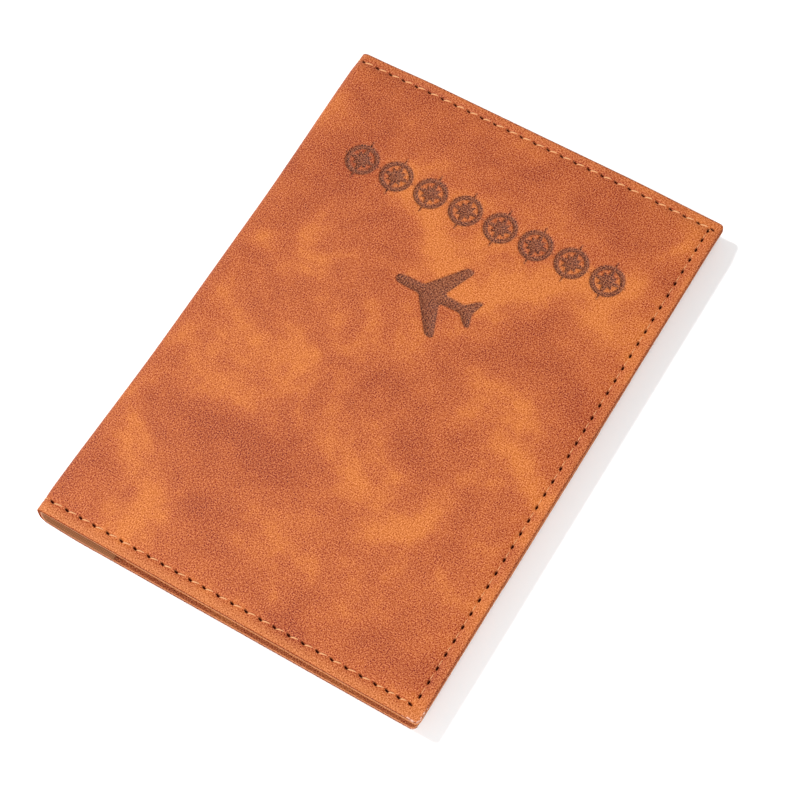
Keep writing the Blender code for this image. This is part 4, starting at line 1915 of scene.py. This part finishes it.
@dataclass(frozen=True)
class Studio:
    """The floor, the lights and the camera."""

    camera_place: tuple[float, float, float] = (139.06 * MM, -188.38 * MM, 472.47 * MM)
    camera_right: tuple[float, float, float] = (0.85609, 0.51511, -0.0421)
    camera_up: tuple[float, float, float] = (-0.44921, 0.7819, 0.43225)
    lens: float = 101.51
    sensor: float = 36.0
    floor_half: float = 3.0
    floor_drop: float = 0.05 * MM
    room_light: float = 0.37

    def make_floor(self) -> None:
        """A plain pale floor, which isn't part of the object."""
        half = self.floor_half
        corners = [(-half, -half), (half, -half), (half, half), (-half, half)]
        mesh = bpy.data.meshes.new("floor")
        mesh.from_pydata([(x, y, -self.floor_drop) for x, y in corners], [], [(0, 1, 2, 3)])
        floor = bpy.data.objects.new("floor", mesh)
        bpy.context.collection.objects.link(floor)
        made, _, shader = new_finish("matt_white_paper_floor")
        shader.inputs["Base Color"].default_value = linear("#fcfcfc")
        shader.inputs["Roughness"].default_value = 0.9
        mesh.materials.append(made)

    def make_camera(self) -> None:
        """The camera, turned by the ways that are right and up in its view."""
        data = bpy.data.cameras.new("camera")
        data.lens = self.lens
        data.sensor_width = self.sensor
        data.clip_start = 0.01
        data.clip_end = 20.0
        camera = bpy.data.objects.new("camera", data)
        right, up = Vector(self.camera_right), Vector(self.camera_up)
        away = right.cross(up)
        turn = Matrix((right, up, away)).transposed().to_4x4()
        camera.matrix_world = Matrix.Translation(self.camera_place) @ turn
        bpy.context.collection.objects.link(camera)
        bpy.context.scene.camera = camera

    def make_light(self, name: str, place: tuple[float, float, float], size: float, power: float) -> None:
        """A round soft light that faces the holder.

        Args:
            name: The light's name.
            place: Where it stands, in metres.
            size: Its diameter, in metres.
            power: Its power, in watts.
        """
        data = bpy.data.lights.new(name, "AREA")
        data.shape = "DISK"
        data.size = size
        data.energy = power
        light = bpy.data.objects.new(name, data)
        light.rotation_mode = "QUATERNION"
        light.location = place
        light.rotation_quaternion = Vector(place).to_track_quat("Z", "Y")
        bpy.context.collection.objects.link(light)

    def build(self) -> None:
        """Sets the whole studio up."""
        scene = bpy.context.scene
        scene.view_settings.view_transform = "Standard"
        world = bpy.data.worlds.new("soft_room")
        world.use_nodes = True
        background = world.node_tree.nodes["Background"]
        background.inputs["Color"].default_value = linear("#ffffff")
        background.inputs["Strength"].default_value = self.room_light
        scene.world = world
        self.make_floor()
        self.make_light("key", place=(-0.8, 0.0, 1.1), size=0.2, power=17.5)
        self.make_light("fill", place=(0.5, -0.9, 0.9), size=1.0, power=17.1)
        self.make_camera()


@dataclass
class PassportHolder:
    """The whole holder: both halves of the cover, their boards and everything sewn to them."""

    palette: dict[str, bpy.types.Material]
    stitches: StitchTree
    hole_gap: float = 0.5 * MM  # how far the stitches across the spine end before the slots' middles
    spine_steps: int = 9
    spine_dive: float = 0.42 * MM  # how deep their ends go
    bobbin_sink: float = 0.02 * MM
    needle_sink: float = 0.22 * MM

    def section(self, side: Side) -> Section:
        """The section of one half, with its sizes from the frame.

        Args:
            side: Which half.

        Returns:
            The section.
        """
        low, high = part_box(f"cover_{side.value}")
        return Section(
            side=side, spine_x=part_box("cover_spine")[0].x, free_x=high.x, tail_y=low.y, head_y=high.y,
            height=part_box("cover_front")[1].z, leather=high.z - low.z,
        )

    def half(self, side: Side) -> CoverSide:
        """One half of the holder, with its sizes from the frame.

        Args:
            side: Which half.

        Returns:
            The half.
        """
        section = self.section(side)
        thread_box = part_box(f"{side.value}_needle_thread")
        inset = section.head_y - thread_box[1].y + 0.4 * MM
        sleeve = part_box("passport_sleeve" if side is Side.BACK else "front_slip_pocket")
        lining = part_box(f"lining_{side.value}")
        rest = lining[0].z if side is Side.BACK else section.height - lining[1].z
        firsts = (2.45 * MM, 3.2 * MM) if side is Side.BACK else (1.25 * MM, 0.5 * MM)
        kind = CoverSide if side is Side.BACK else FrontSide
        return kind(
            section=section,
            seam=Seam(section, inset, *firsts),
            palette=self.palette,
            motif=Motif(section) if side is Side.FRONT else None,
            lining_rest=rest,
            lining_thickness=lining[1].z - lining[0].z,
            sleeve_start=sleeve[0].x - section.spine_x,
            sleeve_thickness=sleeve[1].z - sleeve[0].z,
        )

    def spine_stitches(self, back: CoverSide, front: CoverSide, inside: bool) -> ThreadPath:
        """The stitches that cross the spine's middle, one at the tail and one at the head.

        Args:
            back: The back half.
            front: The front half.
            inside: True for the bobbin thread on the lining, False for the needle thread outside.

        Returns:
            The two stitches.
        """
        path = ThreadPath()
        for y, low, high in (
            (back.seam.tail, back.seam.first_tail, front.seam.first_tail),
            (back.seam.head, back.seam.first_head, front.seam.first_head),
        ):
            strip = np.linspace(self.hole_gap - low, high - self.hole_gap, self.spine_steps)
            dive = np.abs(np.linspace(-1.0, 1.0, self.spine_steps)) ** 5 * self.spine_dive
            places = []
            for u, drop in zip(strip, dive):
                half = front if u > 0 else back
                spot = (np.array([abs(u)]), np.array([y]))
                level = half.top(*spot) + self.bobbin_sink - drop if inside else self.needle_sink + drop
                places.append(half.section.place(*spot, level)[0])
            path.add(np.array(places), back.bobbin_girth if inside else 1.0)
        return path

    def build(self) -> None:
        """Builds every piece in order and reports it."""
        back, front = self.half(Side.BACK), self.half(Side.FRONT)
        for half in (back, front):
            for piece, kind in ((half.make_leather(), "cover"), (half.make_lining(), "lining")):
                spine = [f"{kind}_spine"] if half is back else []
                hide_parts(f"{kind}_{half.label}", *spine)
                log.info("%s: %d faces", piece.name, len(piece.data.polygons))
        for half, name, node in (
            (back, "passport_sleeve_sheet", "passport_sleeve"),
            (front, "slip_pocket_sheet", "front_slip_pocket"),
        ):
            piece = half.make_sleeve(name, node)
            log.info("%s: %d faces", piece.name, len(piece.data.polygons))
        for piece in front.make_card_pockets():
            log.info("%s: %d faces", piece.name, len(piece.data.polygons))
        self.sew(back, front)
        self.dress_boards()

    def sew(self, back: CoverSide, front: CoverSide) -> None:
        """Adds every thread.

        Args:
            back: The back half.
            front: The front half.
        """
        crossings = (self.spine_stitches(back, front, False), self.spine_stitches(back, front, True))
        needle, bobbin = back.make_threads(self.stitches, crossings, back.top)
        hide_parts("back_needle_thread", "spine_tail_needle_thread", "spine_head_needle_thread")
        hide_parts("back_bobbin_thread", "spine_tail_bobbin_thread", "spine_head_bobbin_thread")
        front_threads = front.make_threads(self.stitches, (ThreadPath(), ThreadPath()), front.top)
        pocket = front.make_pocket_stitches(self.stitches)
        for piece in (needle, bobbin, *front_threads, pocket):
            log.info("%s: %d faces", piece.name, len(piece.data.polygons))

    def dress_boards(self) -> None:
        """Gives the two boards, whose CAD shape is right, their finish."""
        for name in ("back_board", "front_board"):
            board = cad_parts[name]
            board.data.materials.clear()
            board.data.materials.append(self.palette["board"])
            log.info("%s: dressed as paperboard", name)


def main() -> None:
    """Builds the holder and the studio round it."""
    logging.basicConfig(level=logging.INFO, format="%(name)s: %(message)s")
    finishes = Palette()
    palette = {
        "cover": finishes.cover.material(),
        "pocket": finishes.pocket.material(),
        "lining": finishes.lining.material(),
        "thread": finishes.thread.material(),
        "board": finishes.board.material(),
    }
    PassportHolder(palette, StitchTree(0.4 * MM)).build()
    Studio().build()


if __name__ == "__main__":
    main()
